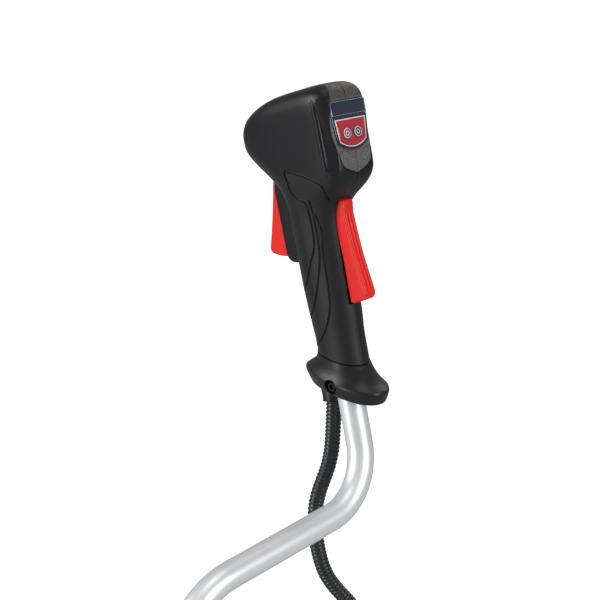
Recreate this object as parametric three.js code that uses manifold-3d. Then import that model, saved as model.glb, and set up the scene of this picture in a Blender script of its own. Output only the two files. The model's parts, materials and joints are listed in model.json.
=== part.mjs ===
// Right-hand control handle of a string trimmer, on its half of the bent handlebar.
// Millimetres, +Z up. The origin is the centre of the handlebar's open clamp end.
// +Y runs from the clamp end towards the handle, +X is the operator's side.
import * as THREE from "three";
import { mergeVertices } from "three/addons/utils/BufferGeometryUtils.js";
import { ParametricGeometry } from "three/addons/geometries/ParametricGeometry.js";
import Module from "manifold-3d";

const wasm = await Module();
wasm.setup();

// ---- driving dimensions -------------------------------------------------------------
const GAP = 0.3; // running and seating clearance
const BAR_R = 11; // outside radius of the handlebar tube
const BAR_WALL = 2;
const CLAMP_LENGTH = 55; // straight, vertical length above the open end
const LOWER_BEND_R = 65;
const UPPER_BEND_R = 50;
const REACH = 213; // between the two bend corners
const REACH_RISE = THREE.MathUtils.degToRad(6);
const HANDLE_TILT = THREE.MathUtils.degToRad(14.5); // forward lean of the handle
const BAR_TOP = 185; // handle axis: where the tube ends inside the grip

const COLLAR_SLOPE = Math.tan(THREE.MathUtils.degToRad(20)); // rear of the collar is lower
const SEAM_W = 118; // collar to grip seam, on the handle axis
const SEAM_GAP = 0.6;
const BOLT_W = 96; // cross bolt through collar and tube
const BOLT_R = 2.4;
const BOLT_HEAD_R = 4.2;
const CONDUIT_P = -20.5; // conduit axis, in front of the tube
const SPOUT_LOW_W = 81;
const SPOUT_R = 9.2;

const SLOT_HALF = 7.7;
const TRIGGER_HALF = 7;
const TRIGGER_PIN = { p: -30, w: 257 };
const TRIGGER_PIN_HALF = 9.8; // it ends inside the guard cheeks
const LEVER_HALF = 6;
const LEVER_SLOT_HALF = 6.4;
const LEVER_SLOT_LOW = 159.6;
const LEVER_PIN = { p: 25.5, w: 247 };
const PIN_R = 2;
const PIN_BORE_R = 2.4;

const REAR_FACE_P = 52;
const PANEL_THICK = 1;
const BUTTON_R = 4.6;
const BUTTON_W = 293;
const BUTTON_Y = 6;
const BOARD_P = 42.5;

const CONDUIT_R = 6.6;
const COIL_R = 72; // middle of the conduit's turns
const COIL_PITCH = 13.6;
const COIL_TURNS = 2;
const COIL_ENTRY = { a: 28, z: -76 };

// Shell screws: axis point (p, w), head plane and tip plane across the handle.
const SCREWS = [
  { p: -44, w: 297, tip: -13, head: 19 },
  { p: 22, w: 318, tip: -13, head: 19 },
  { p: 36, w: 262, tip: -13, head: 19 },
  { p: -2, w: 207, tip: -11, head: 13.5 },
  { p: 15.5, w: 140, tip: -8, head: 6 },
];
const SCREW_R = 1.5;
const SCREW_HEAD_R = 3;

// Outline of grip and head along the handle axis: w, front, rear, half width, roundness of front
// and rear, and lift of the section towards the rear.
const BODY_STATIONS = [
  [100, -22, 22, 17, 2.1, 2.1],
  [118, -22, 22, 17, 2.1, 2.1],
  [135, -22, 22, 17, 2.1, 2.1],
  [150, -23.2, 23, 17.8, 2.1, 2.1],
  [172, -25, 24, 18.3, 2.1, 2.1],
  [200, -25.4, 24.3, 18.8, 2.1, 2.1],
  [226, -25.4, 25.5, 19.2, 2.2, 2.3],
  [236, -25.2, 28, 19.8, 2.2, 2.6],
  [243, -25.2, 33, 20.8, 2.2, 3],
  [250, -25.8, 42.5, 22.2, 2.2, 3.8],
  [256, -27.4, 48.2, 23.6, 2.2, 5],
  [262, -30.6, 51, 24.8, 2.3, 6],
  [270, -38, 52.2, 25.8, 2.5, 7],
  [280, -48.5, 52.4, 26, 2.8, 7],
  [291, -57, 52.4, 26, 3.1, 7],
  [303, -58.2, 52.4, 26, 3.2, 7],
  [312, -55, 52.4, 26, 3.1, 7, 0.02],
  [319, -49, 52, 25.6, 3, 6, 0.045],
  [324.5, -40, 50.3, 24.2, 2.8, 5, 0.065],
  [328, -30, 47, 21.8, 2.6, 4, 0.075],
  [330, -20, 42, 18, 2.5, 3.4, 0.08],
];
const CAVITY_STATIONS = [
  [192, -20, 19, 14.5, 2.2, 2.2],
  [226, -21.5, 20, 16, 2.2, 2.2],
  [243, -21.5, 27, 17.6, 2.2, 2.8],
  [256, -23.6, 42, 20.4, 2.2, 4],
  [264, -28.5, 47.6, 21.8, 2.3, 6],
  [272, -36, 49, 22.8, 2.5, 6],
  [281, -45, 49.4, 23.2, 2.8, 7],
  [291, -53.4, 49.4, 23.2, 3, 7],
  [303, -54.8, 49.4, 23.2, 3.2, 7],
  [312, -51.4, 49.4, 23.2, 3.1, 7, 0.02],
  [321, -40, 47, 21, 2.9, 5, 0.05],
  [325.6, -26, 41, 16, 2.7, 4, 0.07],
];
// Collar, in planes parallel to the sloping seam.
const COLLAR_STATIONS = [
  [88.6, -33.5, 31.5, 18.5, 2.2, 2.2],
  [90.2, -35.5, 33, 20, 2.2, 2.2],
  [97.5, -38, 36.6, 22, 2.2, 2.2],
  [100.4, -38.2, 37, 22.2, 2.2, 2.2],
  [101.6, -37.2, 35.8, 21.6, 2.2, 2.2],
  [105, -32.8, 31.2, 20, 2.2, 2.1],
  [109.5, -27, 27, 18.6, 2.1, 2.1],
  [114, -23.6, 24.2, 17.8, 2.1, 2.1],
  [117.4, -22.6, 22.8, 17.4, 2.1, 2.1],
];

// ---- solids and booleans ------------------------------------------------------------
// A closed geometry as a manifold solid: equal points merged, empty triangles dropped.
function solid(geometry) {
  const bare = new THREE.BufferGeometry();
  bare.setAttribute("position", geometry.getAttribute("position").clone());
  bare.setIndex(geometry.index);
  const merged = mergeVertices(bare, 1e-4);
  const index = merged.index.array;
  const kept = [];
  for (let i = 0; i < index.length; i += 3) {
    const [a, b, c] = [index[i], index[i + 1], index[i + 2]];
    if (a !== b && b !== c && c !== a) kept.push(a, b, c);
  }
  const make = (tris) =>
    new wasm.Manifold(
      new wasm.Mesh({
        numProp: 3,
        vertProperties: merged.getAttribute("position").array,
        triVerts: new Uint32Array(tris),
      }),
    );
  const body = make(kept);
  return body.volume() > 0 ? body : make(kept.reverse());
}

function geometryOf(body) {
  const mesh = body.getMesh();
  const geometry = new THREE.BufferGeometry();
  geometry.setAttribute("position", new THREE.BufferAttribute(mesh.vertProperties, 3));
  geometry.setIndex(new THREE.BufferAttribute(mesh.triVerts, 1));
  geometry.computeVertexNormals();
  return geometry;
}

function join(...bodies) {
  return bodies.reduce((sum, body) => sum.add(body));
}

function cut(body, ...tools) {
  return tools.reduce((left, tool) => left.subtract(tool), body);
}

// ---- shapes in the handle's own frame: p rearwards, y across, w up the axis ----------
function block(p0, p1, y0, y1, w0, w1) {
  const box = new THREE.BoxGeometry(p1 - p0, y1 - y0, w1 - w0);
  return solid(box.translate((p0 + p1) / 2, (y0 + y1) / 2, (w0 + w1) / 2));
}

// A round bar across the handle, along y.
function crossRod(p, w, radius, y0, y1, sides = 16) {
  const rod = new THREE.CylinderGeometry(radius, radius, y1 - y0, sides);
  return solid(rod.translate(p, (y0 + y1) / 2, w));
}

// A round bar along the handle axis.
function axialRod(p, radius, w0, w1, sides = 24, topRadius = radius) {
  const rod = new THREE.CylinderGeometry(topRadius, radius, w1 - w0, sides);
  return solid(rod.rotateX(Math.PI / 2).translate(p, 0, (w0 + w1) / 2));
}

// A round bar towards the operator, along p.
function rearRod(y, w, radius, p0, p1, sides = 20) {
  const rod = new THREE.CylinderGeometry(radius, radius, p1 - p0, sides);
  return solid(rod.rotateZ(-Math.PI / 2).translate((p0 + p1) / 2, y, w));
}

// A flat outline in the p-w plane, extruded across the handle between -half and +half.
function sideExtrude(shape, half, bevel = 0) {
  const options = {
    depth: 2 * (half - bevel),
    curveSegments: 6,
    bevelEnabled: bevel > 0,
    bevelSize: bevel,
    bevelOffset: -bevel,
    bevelThickness: bevel,
    bevelSegments: 1,
  };
  const flat = new THREE.ExtrudeGeometry(shape, options);
  return solid(flat.rotateX(Math.PI / 2).translate(0, half - bevel, 0));
}

// A flat outline in the y-w plane, extruded along p from p0 to p1.
function rearExtrude(shape, p0, p1) {
  const flat = new THREE.ExtrudeGeometry(shape, {
    depth: p1 - p0,
    curveSegments: 10,
    bevelEnabled: false,
  });
  flat.applyMatrix4(new THREE.Matrix4().set(0, 0, 1, p0, 1, 0, 0, 0, 0, 1, 0, 0, 0, 0, 0, 1));
  return solid(flat);
}

// A closed body through rounded sections; slope tilts every section plane.
function loft(stations, around, slope = 0) {
  const last = stations.length - 1;
  const point = (u, v, target) => {
    const row = Math.min(last, Math.max(0, Math.round(v * (last + 2)) - 1));
    const closed = v === 0 || v === 1;
    const [w, front, rear, half, frontPower, rearPower, lift = 0] = stations[row];
    const angle = u * 2 * Math.PI;
    const c = Math.abs(Math.cos(angle)) < 1e-9 ? 0 : Math.cos(angle);
    const s = Math.abs(Math.sin(angle)) < 1e-9 ? 0 : Math.sin(angle);
    const power = 2 / (c < 0 ? frontPower : rearPower);
    const reach = c < 0 ? front : rear;
    const p = closed ? (front + rear) / 2 : reach * Math.abs(c) ** power;
    const y = closed ? 0 : half * Math.sign(s) * Math.abs(s) ** power;
    target.set(p, y, w + (lift - slope) * p);
  };
  return solid(new ParametricGeometry(point, around, last + 2));
}

// ---- handlebar tube -----------------------------------------------------------------
class BendCurve extends THREE.Curve {
  constructor(corner, from, to, radius) {
    super();
    const inward = from.clone().negate();
    this.turn = from.angleTo(to);
    this.radius = radius;
    this.tangent = radius * Math.tan(this.turn / 2);
    this.start = corner.clone().addScaledVector(inward, this.tangent);
    this.end = corner.clone().addScaledVector(to, this.tangent);
    this.from = from;
    this.side = to.clone().addScaledVector(from, -from.dot(to)).normalize();
  }

  getPoint(t, target = new THREE.Vector3()) {
    const angle = t * this.turn;
    return target
      .copy(this.start)
      .addScaledVector(this.from, this.radius * Math.sin(angle))
      .addScaledVector(this.side, this.radius * (1 - Math.cos(angle)));
  }
}

const up = new THREE.Vector3(0, 0, 1);
const reachDir = new THREE.Vector3(0, Math.cos(REACH_RISE), Math.sin(REACH_RISE));
const handleDir = new THREE.Vector3(-Math.sin(HANDLE_TILT), 0, Math.cos(HANDLE_TILT));
const lowerTurn = up.angleTo(reachDir);
const lowerCorner = new THREE.Vector3(
  0,
  0,
  CLAMP_LENGTH + LOWER_BEND_R * Math.tan(lowerTurn / 2),
);
const upperCorner = lowerCorner.clone().addScaledVector(reachDir, REACH);
const lowerBend = new BendCurve(lowerCorner, up, reachDir, LOWER_BEND_R);
const upperBend = new BendCurve(upperCorner, reachDir, handleDir, UPPER_BEND_R);
const barTop = upperCorner.clone().addScaledVector(handleDir, BAR_TOP);

const barPath = new THREE.CurvePath();
barPath.add(new THREE.LineCurve3(new THREE.Vector3(), lowerBend.start));
barPath.add(lowerBend);
barPath.add(new THREE.LineCurve3(lowerBend.end, upperBend.start));
barPath.add(upperBend);
barPath.add(new THREE.LineCurve3(upperBend.end, barTop));

function ringShape(outer, inner) {
  const shape = new THREE.Shape().absarc(0, 0, outer, 0, 2 * Math.PI);
  if (inner > 0) shape.holes.push(new THREE.Path().absarc(0, 0, inner, 0, 2 * Math.PI, true));
  return shape;
}

function tube(path, outer, inner, steps, sides) {
  return solid(
    new THREE.ExtrudeGeometry(ringShape(outer, inner), {
      extrudePath: path,
      steps,
      curveSegments: sides / 2,
      bevelEnabled: false,
    }),
  );
}

// The handle's own frame stands on the corner of the upper bend.
const handle = new THREE.Group();
handle.position.copy(upperCorner);
handle.rotation.y = -HANDLE_TILT;
handle.updateMatrixWorld(true);
const handleMatrix = handle.matrixWorld.clone();

function inWorld(body) {
  return solid(geometryOf(body).applyMatrix4(handleMatrix));
}

const boltHole = crossRod(0, BOLT_W, BOLT_R + GAP, -14, 14, 12);
const barTube = cut(tube(barPath, BAR_R, BAR_R - BAR_WALL, 52, 16), inWorld(boltHole));

// ---- collar -------------------------------------------------------------------------
function collarBody() {
  const spout = axialRod(CONDUIT_P, SPOUT_R - 0.6, SPOUT_LOW_W, 104, 20, SPOUT_R);
  const trim = loft(COLLAR_STATIONS, 32, COLLAR_SLOPE);
  const tubeBore = axialRod(0, BAR_R + 0.5, 60, 140);
  const conduitBore = axialRod(CONDUIT_P, CONDUIT_R + 1.1, 70, 91.5, 16);
  const wireBore = block(-23.6, -9, -3.8, 3.8, 90, 140);
  const headPocket = crossRod(0, BOLT_W, 6, -40, -15.2, 20);
  const nutPocket = crossRod(0, BOLT_W, 5.4, 15.2, 40, 6);
  const shank = crossRod(0, BOLT_W, BOLT_R + GAP, -30, 30, 12);
  return cut(join(trim, spout), tubeBore, conduitBore, wireBore, headPocket, nutPocket, shank);
}

// ---- grip shells --------------------------------------------------------------------
function guardShape() {
  const shape = new THREE.Shape();
  shape.moveTo(-14, 197);
  shape.lineTo(-24, 197);
  shape.quadraticCurveTo(-33.8, 197.5, -34.2, 206);
  shape.lineTo(-35.4, 258);
  shape.lineTo(-33, 264);
  shape.lineTo(-14, 264);
  shape.closePath();
  return shape;
}

function seamCutter() {
  const reach = 60;
  const low = 40;
  const shape = new THREE.Shape();
  shape.moveTo(-reach, SEAM_W + SEAM_GAP / 2 + reach * COLLAR_SLOPE);
  shape.lineTo(reach, SEAM_W + SEAM_GAP / 2 - reach * COLLAR_SLOPE);
  shape.lineTo(reach, low);
  shape.lineTo(-reach, low);
  shape.closePath();
  return sideExtrude(shape, 40);
}

function gripBody() {
  const outside = join(loft(BODY_STATIONS, 32), sideExtrude(guardShape(), 10.4));
  const triggerSlot = block(-70, -14.5, -SLOT_HALF, SLOT_HALF, 200.4, 267);
  const leverSlot = join(
    block(12.4, 60, -LEVER_SLOT_HALF, LEVER_SLOT_HALF, LEVER_SLOT_LOW, 243.8),
    block(12.4, 31.8, -LEVER_SLOT_HALF, LEVER_SLOT_HALF, 240, 252),
  );
  const panelRecess = block(51, 70, -20, 20, 279.2, 319.4);
  const displayOpening = block(46, 60, -14, 14, 307.5, 316);
  const wireChannel = block(-19.6, -9, -3.6, 3.6, 96, 196);
  return cut(
    outside,
    seamCutter(),
    axialRod(0, BAR_R + 0.5, 90, 196),
    loft(CAVITY_STATIONS, 24),
    triggerSlot,
    leverSlot,
    panelRecess,
    displayOpening,
    wireChannel,
    rearRod(-BUTTON_Y, BUTTON_W, BUTTON_R + 0.5, 44, 54),
    rearRod(BUTTON_Y, BUTTON_W, BUTTON_R + 0.5, 44, 54),
  );
}

// Bosses, posts and ribs inside one half; side is -1 for the left half, +1 for the right.
function innerWorks(side) {
  const across = (from, to) => (side < 0 ? [-to, -from] : [from, to]);
  const [l0, l1] = across(side < 0 ? 7 : 10, 20);
  const [b0, b1] = across(0.15, 23);
  const [r0, r1] = across(5.3, 17.5);
  const pieces = SCREWS.slice(0, 4).map((s) => crossRod(s.p, s.w, 4.6, b0, b1, 12));
  pieces.push(crossRod(LEVER_PIN.p, LEVER_PIN.w, 4.8, l0, l1, 14));
  pieces.push(block(-15, -11, r0, r1, 243, 249));
  pieces.push(rearRod(side * 13.5, 300, 2, BOARD_P + 1.2, 50, 10));
  return join(...pieces);
}

function shellHalf(side, whole, outer) {
  const near = side < 0 ? block(-90, 90, -60, -GAP / 2, 60, 360) : block(-90, 90, GAP / 2, 60, 60, 360);
  const half = join(whole, innerWorks(side).intersect(outer)).intersect(near);
  const holes = SCREWS.map((s) =>
    side < 0
      ? crossRod(s.p, s.w, SCREW_R + GAP, s.tip - 1, 1, 10)
      : join(
          crossRod(s.p, s.w, SCREW_R + GAP, -1, s.head + 1, 10),
          crossRod(s.p, s.w, SCREW_HEAD_R + 0.6, s.head - 0.4, 40, 14),
        ),
  );
  const boreEnd = TRIGGER_PIN_HALF + 0.2;
  const triggerBore = crossRod(TRIGGER_PIN.p, TRIGGER_PIN.w, PIN_BORE_R, -boreEnd, boreEnd, 14);
  const leverBore = crossRod(LEVER_PIN.p, LEVER_PIN.w, PIN_BORE_R, -15, 15, 14);
  const leverSpringRoom = crossRod(LEVER_PIN.p, LEVER_PIN.w, 5.1, 6.1, 10);
  return cut(half, ...holes, triggerBore, leverBore, leverSpringRoom);
}

// ---- trigger and lockout lever ------------------------------------------------------
function triggerShape() {
  const shape = new THREE.Shape();
  shape.moveTo(-39.4, 264);
  shape.quadraticCurveTo(-46, 238, -56.4, 211);
  shape.quadraticCurveTo(-57, 206.5, -52, 205);
  shape.quadraticCurveTo(-44, 202.4, -34, 202);
  shape.lineTo(-31.4, 204);
  shape.lineTo(-28.4, 247.4);
  shape.lineTo(-25, 251);
  shape.lineTo(-24, 256);
  shape.lineTo(-20, 259);
  shape.lineTo(-20, 262);
  shape.lineTo(-34, 265);
  shape.closePath();
  return shape;
}

function leverShape() {
  const shape = new THREE.Shape();
  shape.moveTo(31, 243.4);
  shape.lineTo(34.2, 241.8);
  shape.lineTo(34.8, 239.6);
  shape.lineTo(33.6, 232);
  shape.quadraticCurveTo(34.6, 214, 37, 196);
  shape.lineTo(42, 169);
  shape.quadraticCurveTo(42.6, 164, 38, 162.4);
  shape.lineTo(28, 160.4);
  shape.lineTo(24.4, 161.4);
  shape.lineTo(24.2, 196);
  shape.lineTo(22.6, 226);
  shape.lineTo(22.6, 240);
  shape.lineTo(20.6, 245);
  shape.lineTo(20.8, 250.8);
  shape.lineTo(-8, 268.4);
  shape.lineTo(-17, 269);
  shape.lineTo(-17, 272);
  shape.lineTo(-7, 272.4);
  shape.lineTo(23, 256);
  shape.lineTo(26.6, 252.2);
  shape.lineTo(29, 248);
  shape.closePath();
  return shape;
}

const trigger = cut(
  sideExtrude(triggerShape(), TRIGGER_HALF, 0.9),
  crossRod(TRIGGER_PIN.p, TRIGGER_PIN.w, PIN_BORE_R, -10, 10, 14),
  crossRod(TRIGGER_PIN.p, TRIGGER_PIN.w, 5, 3, 8),
);
// The lever's lock arm is a thin web, so it passes beside the shell's inner walls.
const lever = cut(
  sideExtrude(leverShape(), LEVER_HALF, 0.9),
  crossRod(LEVER_PIN.p, LEVER_PIN.w, PIN_BORE_R, -10, 10, 14),
  block(-40, 19.6, -20, -2, 245, 280),
  block(-40, 19.6, 2, 20, 245, 280),
);

// ---- panel, buttons and electronics -------------------------------------------------
function panelShape() {
  const shape = new THREE.Shape();
  shape.moveTo(-19.2, 306.2);
  shape.lineTo(-16.8, 286);
  shape.quadraticCurveTo(-10, 280.4, 0, 280);
  shape.quadraticCurveTo(10, 280.4, 16.8, 286);
  shape.lineTo(19.2, 306.2);
  shape.closePath();
  return shape;
}

const panelLow = REAR_FACE_P - PANEL_THICK + GAP;
const panel = cut(
  rearExtrude(panelShape(), panelLow, panelLow + PANEL_THICK),
  rearRod(-BUTTON_Y, BUTTON_W, BUTTON_R + GAP, 48, 56),
  rearRod(BUTTON_Y, BUTTON_W, BUTTON_R + GAP, 48, 56),
);

// ---- conduit ------------------------------------------------------------------------
// The conduit hangs in a vertical plane through its exit; a is the distance along it.
const conduitExit = new THREE.Vector3(CONDUIT_P, 0, SPOUT_LOW_W).applyMatrix4(handleMatrix);
const planeDir = new THREE.Vector3(1, 1, 0).normalize();
const planeNormal = new THREE.Vector3(1, -1, 0).normalize();

function onPlane(a, z, aside = 0) {
  const point = conduitExit.clone().setZ(z);
  return point.addScaledVector(planeDir, a).addScaledVector(planeNormal, aside);
}

const HANGING = [
  [0, 212],
  [0, 200],
  [-0.4, 188],
  [-0.9, 175],
  [-2.1, 162],
  [-4.8, 149],
  [-8.4, 138],
  [-11.8, 127.5],
  [-14.2, 116],
  [-15, 105],
  [-14.8, 92],
  [-13.2, 78.5],
  [-10.4, 65],
  [-6.4, 53],
  [-1, 43.4],
  [5.4, 35],
  [12.4, 26.8],
  [18.8, 17.6],
  [23.8, 6.4],
  [26.6, -6.5],
  [27.8, -22],
  [28, -40],
  [28, -58],
];

const hangingCurve = new THREE.CatmullRomCurve3([
  ...HANGING.map(([a, z]) => onPlane(a, z)),
  onPlane(COIL_ENTRY.a, COIL_ENTRY.z),
]);
const coilAside = (-COIL_TURNS * COIL_PITCH) / 2;
const coilHalf = (COIL_TURNS * COIL_PITCH) / 2 + CONDUIT_R + 0.2;
const coilCentre = onPlane(COIL_ENTRY.a - COIL_R, COIL_ENTRY.z, coilAside);

// A ring about the coil's axis with a rectangular section.
function coilRing(inner, outer, half, around) {
  const profile = [
    [inner, -half],
    [outer, -half],
    [outer, half],
    [inner, half],
    [inner, -half],
  ].map(([r, y]) => new THREE.Vector2(r, y));
  const ring = new THREE.LatheGeometry(profile, around);
  const turn = new THREE.Quaternion().setFromUnitVectors(new THREE.Vector3(0, 1, 0), planeNormal);
  ring.applyQuaternion(turn);
  return solid(ring.translate(coilCentre.x, coilCentre.y, coilCentre.z));
}

const coil = coilRing(COIL_R - CONDUIT_R - 0.2, COIL_R + CONDUIT_R + 0.2, coilHalf, 40);
const coilRoom = coilRing(COIL_R - CONDUIT_R - 0.5, COIL_R + CONDUIT_R + 0.5, coilHalf + GAP, 40);
const conduit = cut(tube(hangingCurve, CONDUIT_R, 0, 40, 12), coilRoom);
const tailAside = 2 * coilAside;
const tailTop = onPlane(COIL_ENTRY.a, COIL_ENTRY.z - 20, tailAside);
const tailEnd = onPlane(COIL_ENTRY.a, COIL_ENTRY.z - 60, tailAside);
const tail = cut(tube(new THREE.LineCurve3(tailTop, tailEnd), CONDUIT_R, 0, 4, 12), coilRoom);

// A hanging piece on the end of the tail: a rounded rectangle extruded downwards.
function plugPiece(width, depth, from, to) {
  const shape = new THREE.Shape();
  const r = Math.min(width, depth) * 0.24;
  const [x, y] = [width / 2, depth / 2];
  shape.moveTo(-x + r, -y);
  shape.lineTo(x - r, -y);
  shape.quadraticCurveTo(x, -y, x, -y + r);
  shape.lineTo(x, y - r);
  shape.quadraticCurveTo(x, y, x - r, y);
  shape.lineTo(-x + r, y);
  shape.quadraticCurveTo(-x, y, -x, y - r);
  shape.lineTo(-x, -y + r);
  shape.quadraticCurveTo(-x, -y, -x + r, -y);
  const options = { depth: from - to, curveSegments: 3, bevelEnabled: false };
  const body = new THREE.ExtrudeGeometry(shape, options);
  body.rotateZ(Math.PI / 4).translate(tailEnd.x, tailEnd.y, tailEnd.z + to);
  return solid(body);
}

// The tie goes round the coil's section at the far side of the ring.
function tieBand() {
  const [r, h, wall, width] = [CONDUIT_R + 0.7, coilHalf + 0.6, 1.2, 4.8];
  const outer = new THREE.BoxGeometry(2 * (r + wall), width, 2 * (h + wall));
  const inner = new THREE.BoxGeometry(2 * r, width + 4, 2 * h);
  const band = cut(solid(outer), solid(inner));
  const basis = new THREE.Matrix4().makeBasis(planeDir, up, planeNormal);
  const place = onPlane(COIL_ENTRY.a - 2 * COIL_R, COIL_ENTRY.z, coilAside);
  return solid(geometryOf(band).applyMatrix4(basis.setPosition(place)));
}

// ---- inner wiring -------------------------------------------------------------------
const harnessCurve = new THREE.CatmullRomCurve3(
  [
    [-20.5, 86],
    [-19.4, 102],
    [-17, 116],
    [-16.2, 136],
    [-15.4, 170],
    [-14, 194],
    [-12.6, 214],
    [-12, 234],
  ].map(([p, w]) => new THREE.Vector3(p, 0, w)),
);

// ---- assembly -----------------------------------------------------------------------
const finish = (color, roughness, metalness = 0) => ({ color, roughness, metalness });
const BLACK_PLASTIC = finish(0x1b1c1e, 0.55);
const RED_PLASTIC = finish(0xd3261d, 0.4);
const STEEL = finish(0x9a9da0, 0.35, 1);
const ALUMINIUM = finish(0xc3c7ca, 0.38, 1);
const DARK_PARTS = finish(0x26282b, 0.6);
const CONDUIT_PLASTIC = finish(0x16181c, 0.5);

const root = new THREE.Group();
root.add(handle);

function add(parent, name, body, look) {
  const mesh = new THREE.Mesh(geometryOf(body), new THREE.MeshStandardMaterial(look));
  mesh.name = name;
  parent.add(mesh);
}

const grip = gripBody();
const gripOutside = join(loft(BODY_STATIONS, 32), sideExtrude(guardShape(), 10.4));

add(root, "bar_tube", barTube, ALUMINIUM);
add(handle, "collar", collarBody(), BLACK_PLASTIC);
add(handle, "grip_shell_left", shellHalf(-1, grip, gripOutside), BLACK_PLASTIC);
add(handle, "grip_shell_right", shellHalf(1, grip, gripOutside), BLACK_PLASTIC);

const boltBody = join(
  crossRod(0, BOLT_W, BOLT_HEAD_R, -20.2, -15.5),
  crossRod(0, BOLT_W, BOLT_R, -16, 21.5, 12),
);
add(handle, "clamp_bolt", cut(boltBody, crossRod(0, BOLT_W, 2.2, -22, -17.6, 6)), STEEL);
const nut = crossRod(0, BOLT_W, 4.9, 15.5, 19.5, 6);
add(handle, "clamp_nut", cut(nut, crossRod(0, BOLT_W, BOLT_R + GAP, 10, 24, 12)), STEEL);

SCREWS.forEach((s, i) => {
  const body = join(
    crossRod(s.p, s.w, SCREW_R, s.tip, s.head + 1, 10),
    crossRod(s.p, s.w, SCREW_HEAD_R, s.head, s.head + 2.2, 14),
  );
  const drive = crossRod(s.p, s.w, 1.3, s.head + 1, s.head + 4, 6);
  add(handle, `shell_screw_${i + 1}`, cut(body, drive), STEEL);
});

add(handle, "trigger", trigger, RED_PLASTIC);
const triggerPin = crossRod(TRIGGER_PIN.p, TRIGGER_PIN.w, PIN_R, -TRIGGER_PIN_HALF, TRIGGER_PIN_HALF, 14);
add(handle, "trigger_pin", triggerPin, STEEL);
add(handle, "lockout_lever", lever, RED_PLASTIC);
add(handle, "lockout_pin", crossRod(LEVER_PIN.p, LEVER_PIN.w, PIN_R, -14.6, 14.6, 14), STEEL);

const springRing = (pin, y0, y1) =>
  cut(crossRod(pin.p, pin.w, 4.6, y0, y1), crossRod(pin.p, pin.w, PIN_R + GAP + 0.2, y0 - 1, y1 + 1));
add(handle, "trigger_spring", springRing(TRIGGER_PIN, 3.4, 6.6), STEEL);
add(handle, "lockout_spring", springRing(LEVER_PIN, 6.4, 9.6), STEEL);

const switchBlock = block(-19.4, -7, -5, 5, 236, 256);
const plungerBore = rearRod(0, 246, 2.4, -22, -9, 12);
add(handle, "switch_body", cut(switchBlock, plungerBore), DARK_PARTS);
add(handle, "switch_plunger", rearRod(0, 246, 2, -27.6, -13.4, 12), RED_PLASTIC);

add(handle, "control_panel", panel, finish(0xb3182b, 0.25));
const windowPane = block(panelLow, panelLow + PANEL_THICK, -19.4, 19.4, 306.6, 318.8);
add(handle, "display_window", windowPane, finish(0x1b2440, 0.12));
[-1, 1].forEach((side) => {
  const word = side < 0 ? "left" : "right";
  const y = side * BUTTON_Y;
  const cap = rearRod(y, BUTTON_W, BUTTON_R, BOARD_P + 4, REAR_FACE_P + 1);
  add(handle, `button_${word}`, cap, finish(0xd9dcdf, 0.3));
  const tact = block(BOARD_P + 1.1, BOARD_P + 3.1, y - 3, y + 3, BUTTON_W - 3, BUTTON_W + 3);
  add(handle, `tact_switch_${word}`, tact, DARK_PARTS);
});
const boardBody = block(BOARD_P - 0.8, BOARD_P + 0.8, -16, 16, 284, 317);
add(handle, "control_board", boardBody, finish(0x1c5a34, 0.5));
add(handle, "level_display", block(BOARD_P + 1.1, 50.8, -12, 12, 308.5, 315), finish(0xe8e4d8, 0.4));
add(handle, "inner_harness", tube(harnessCurve, 2.6, 0, 20, 8), DARK_PARTS);

add(root, "conduit", conduit, CONDUIT_PLASTIC);
add(root, "conduit_coil", coil, CONDUIT_PLASTIC);
add(root, "conduit_tail", tail, CONDUIT_PLASTIC);
add(root, "coil_tie", tieBand(), DARK_PARTS);
add(root, "connector_boot", plugPiece(17, 15, -0.3, -14), DARK_PARTS);
add(root, "connector_plug", plugPiece(25, 16, -14.3, -46), DARK_PARTS);

export default root;
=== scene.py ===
"""Right-hand control handle of a string trimmer, on its half of the bent handlebar.

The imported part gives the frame. Shapes of the handle are worked out in the handle's own
frame, in millimetres: p points rearwards to the operator, y across the handle and w up its
axis. One matrix then puts them in the part's frame, in metres.
"""

import json
import logging
import math
from dataclasses import dataclass
from enum import Enum

import bmesh
import bpy
from mathutils import Matrix, Vector

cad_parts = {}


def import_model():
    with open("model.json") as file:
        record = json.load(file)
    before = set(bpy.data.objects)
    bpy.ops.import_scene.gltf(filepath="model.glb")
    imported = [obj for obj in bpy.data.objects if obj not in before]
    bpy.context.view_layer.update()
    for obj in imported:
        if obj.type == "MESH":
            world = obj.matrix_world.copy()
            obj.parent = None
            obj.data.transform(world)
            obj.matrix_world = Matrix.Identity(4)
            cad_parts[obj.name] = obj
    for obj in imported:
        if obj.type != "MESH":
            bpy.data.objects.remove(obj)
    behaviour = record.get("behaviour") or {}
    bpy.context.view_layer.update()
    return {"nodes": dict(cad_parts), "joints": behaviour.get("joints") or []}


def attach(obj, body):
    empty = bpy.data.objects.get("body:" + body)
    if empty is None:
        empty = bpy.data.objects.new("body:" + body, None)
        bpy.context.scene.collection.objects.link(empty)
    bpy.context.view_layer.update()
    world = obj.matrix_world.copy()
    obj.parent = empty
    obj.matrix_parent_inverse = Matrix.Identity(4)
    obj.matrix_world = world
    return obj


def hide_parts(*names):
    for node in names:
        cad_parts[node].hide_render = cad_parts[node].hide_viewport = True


LOG = logging.getLogger("trimmer_handle")
MM = 0.001
TURN = 2 * math.pi
Pair = tuple[float, float]


class Cut(Enum):
    """What a boolean does with its tool."""

    AWAY = "DIFFERENCE"
    JOIN = "UNION"
    KEEP = "INTERSECT"


class Hand(Enum):
    """The two sides of the handle, as the sign of y."""

    LEFT = -1
    RIGHT = 1


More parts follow.
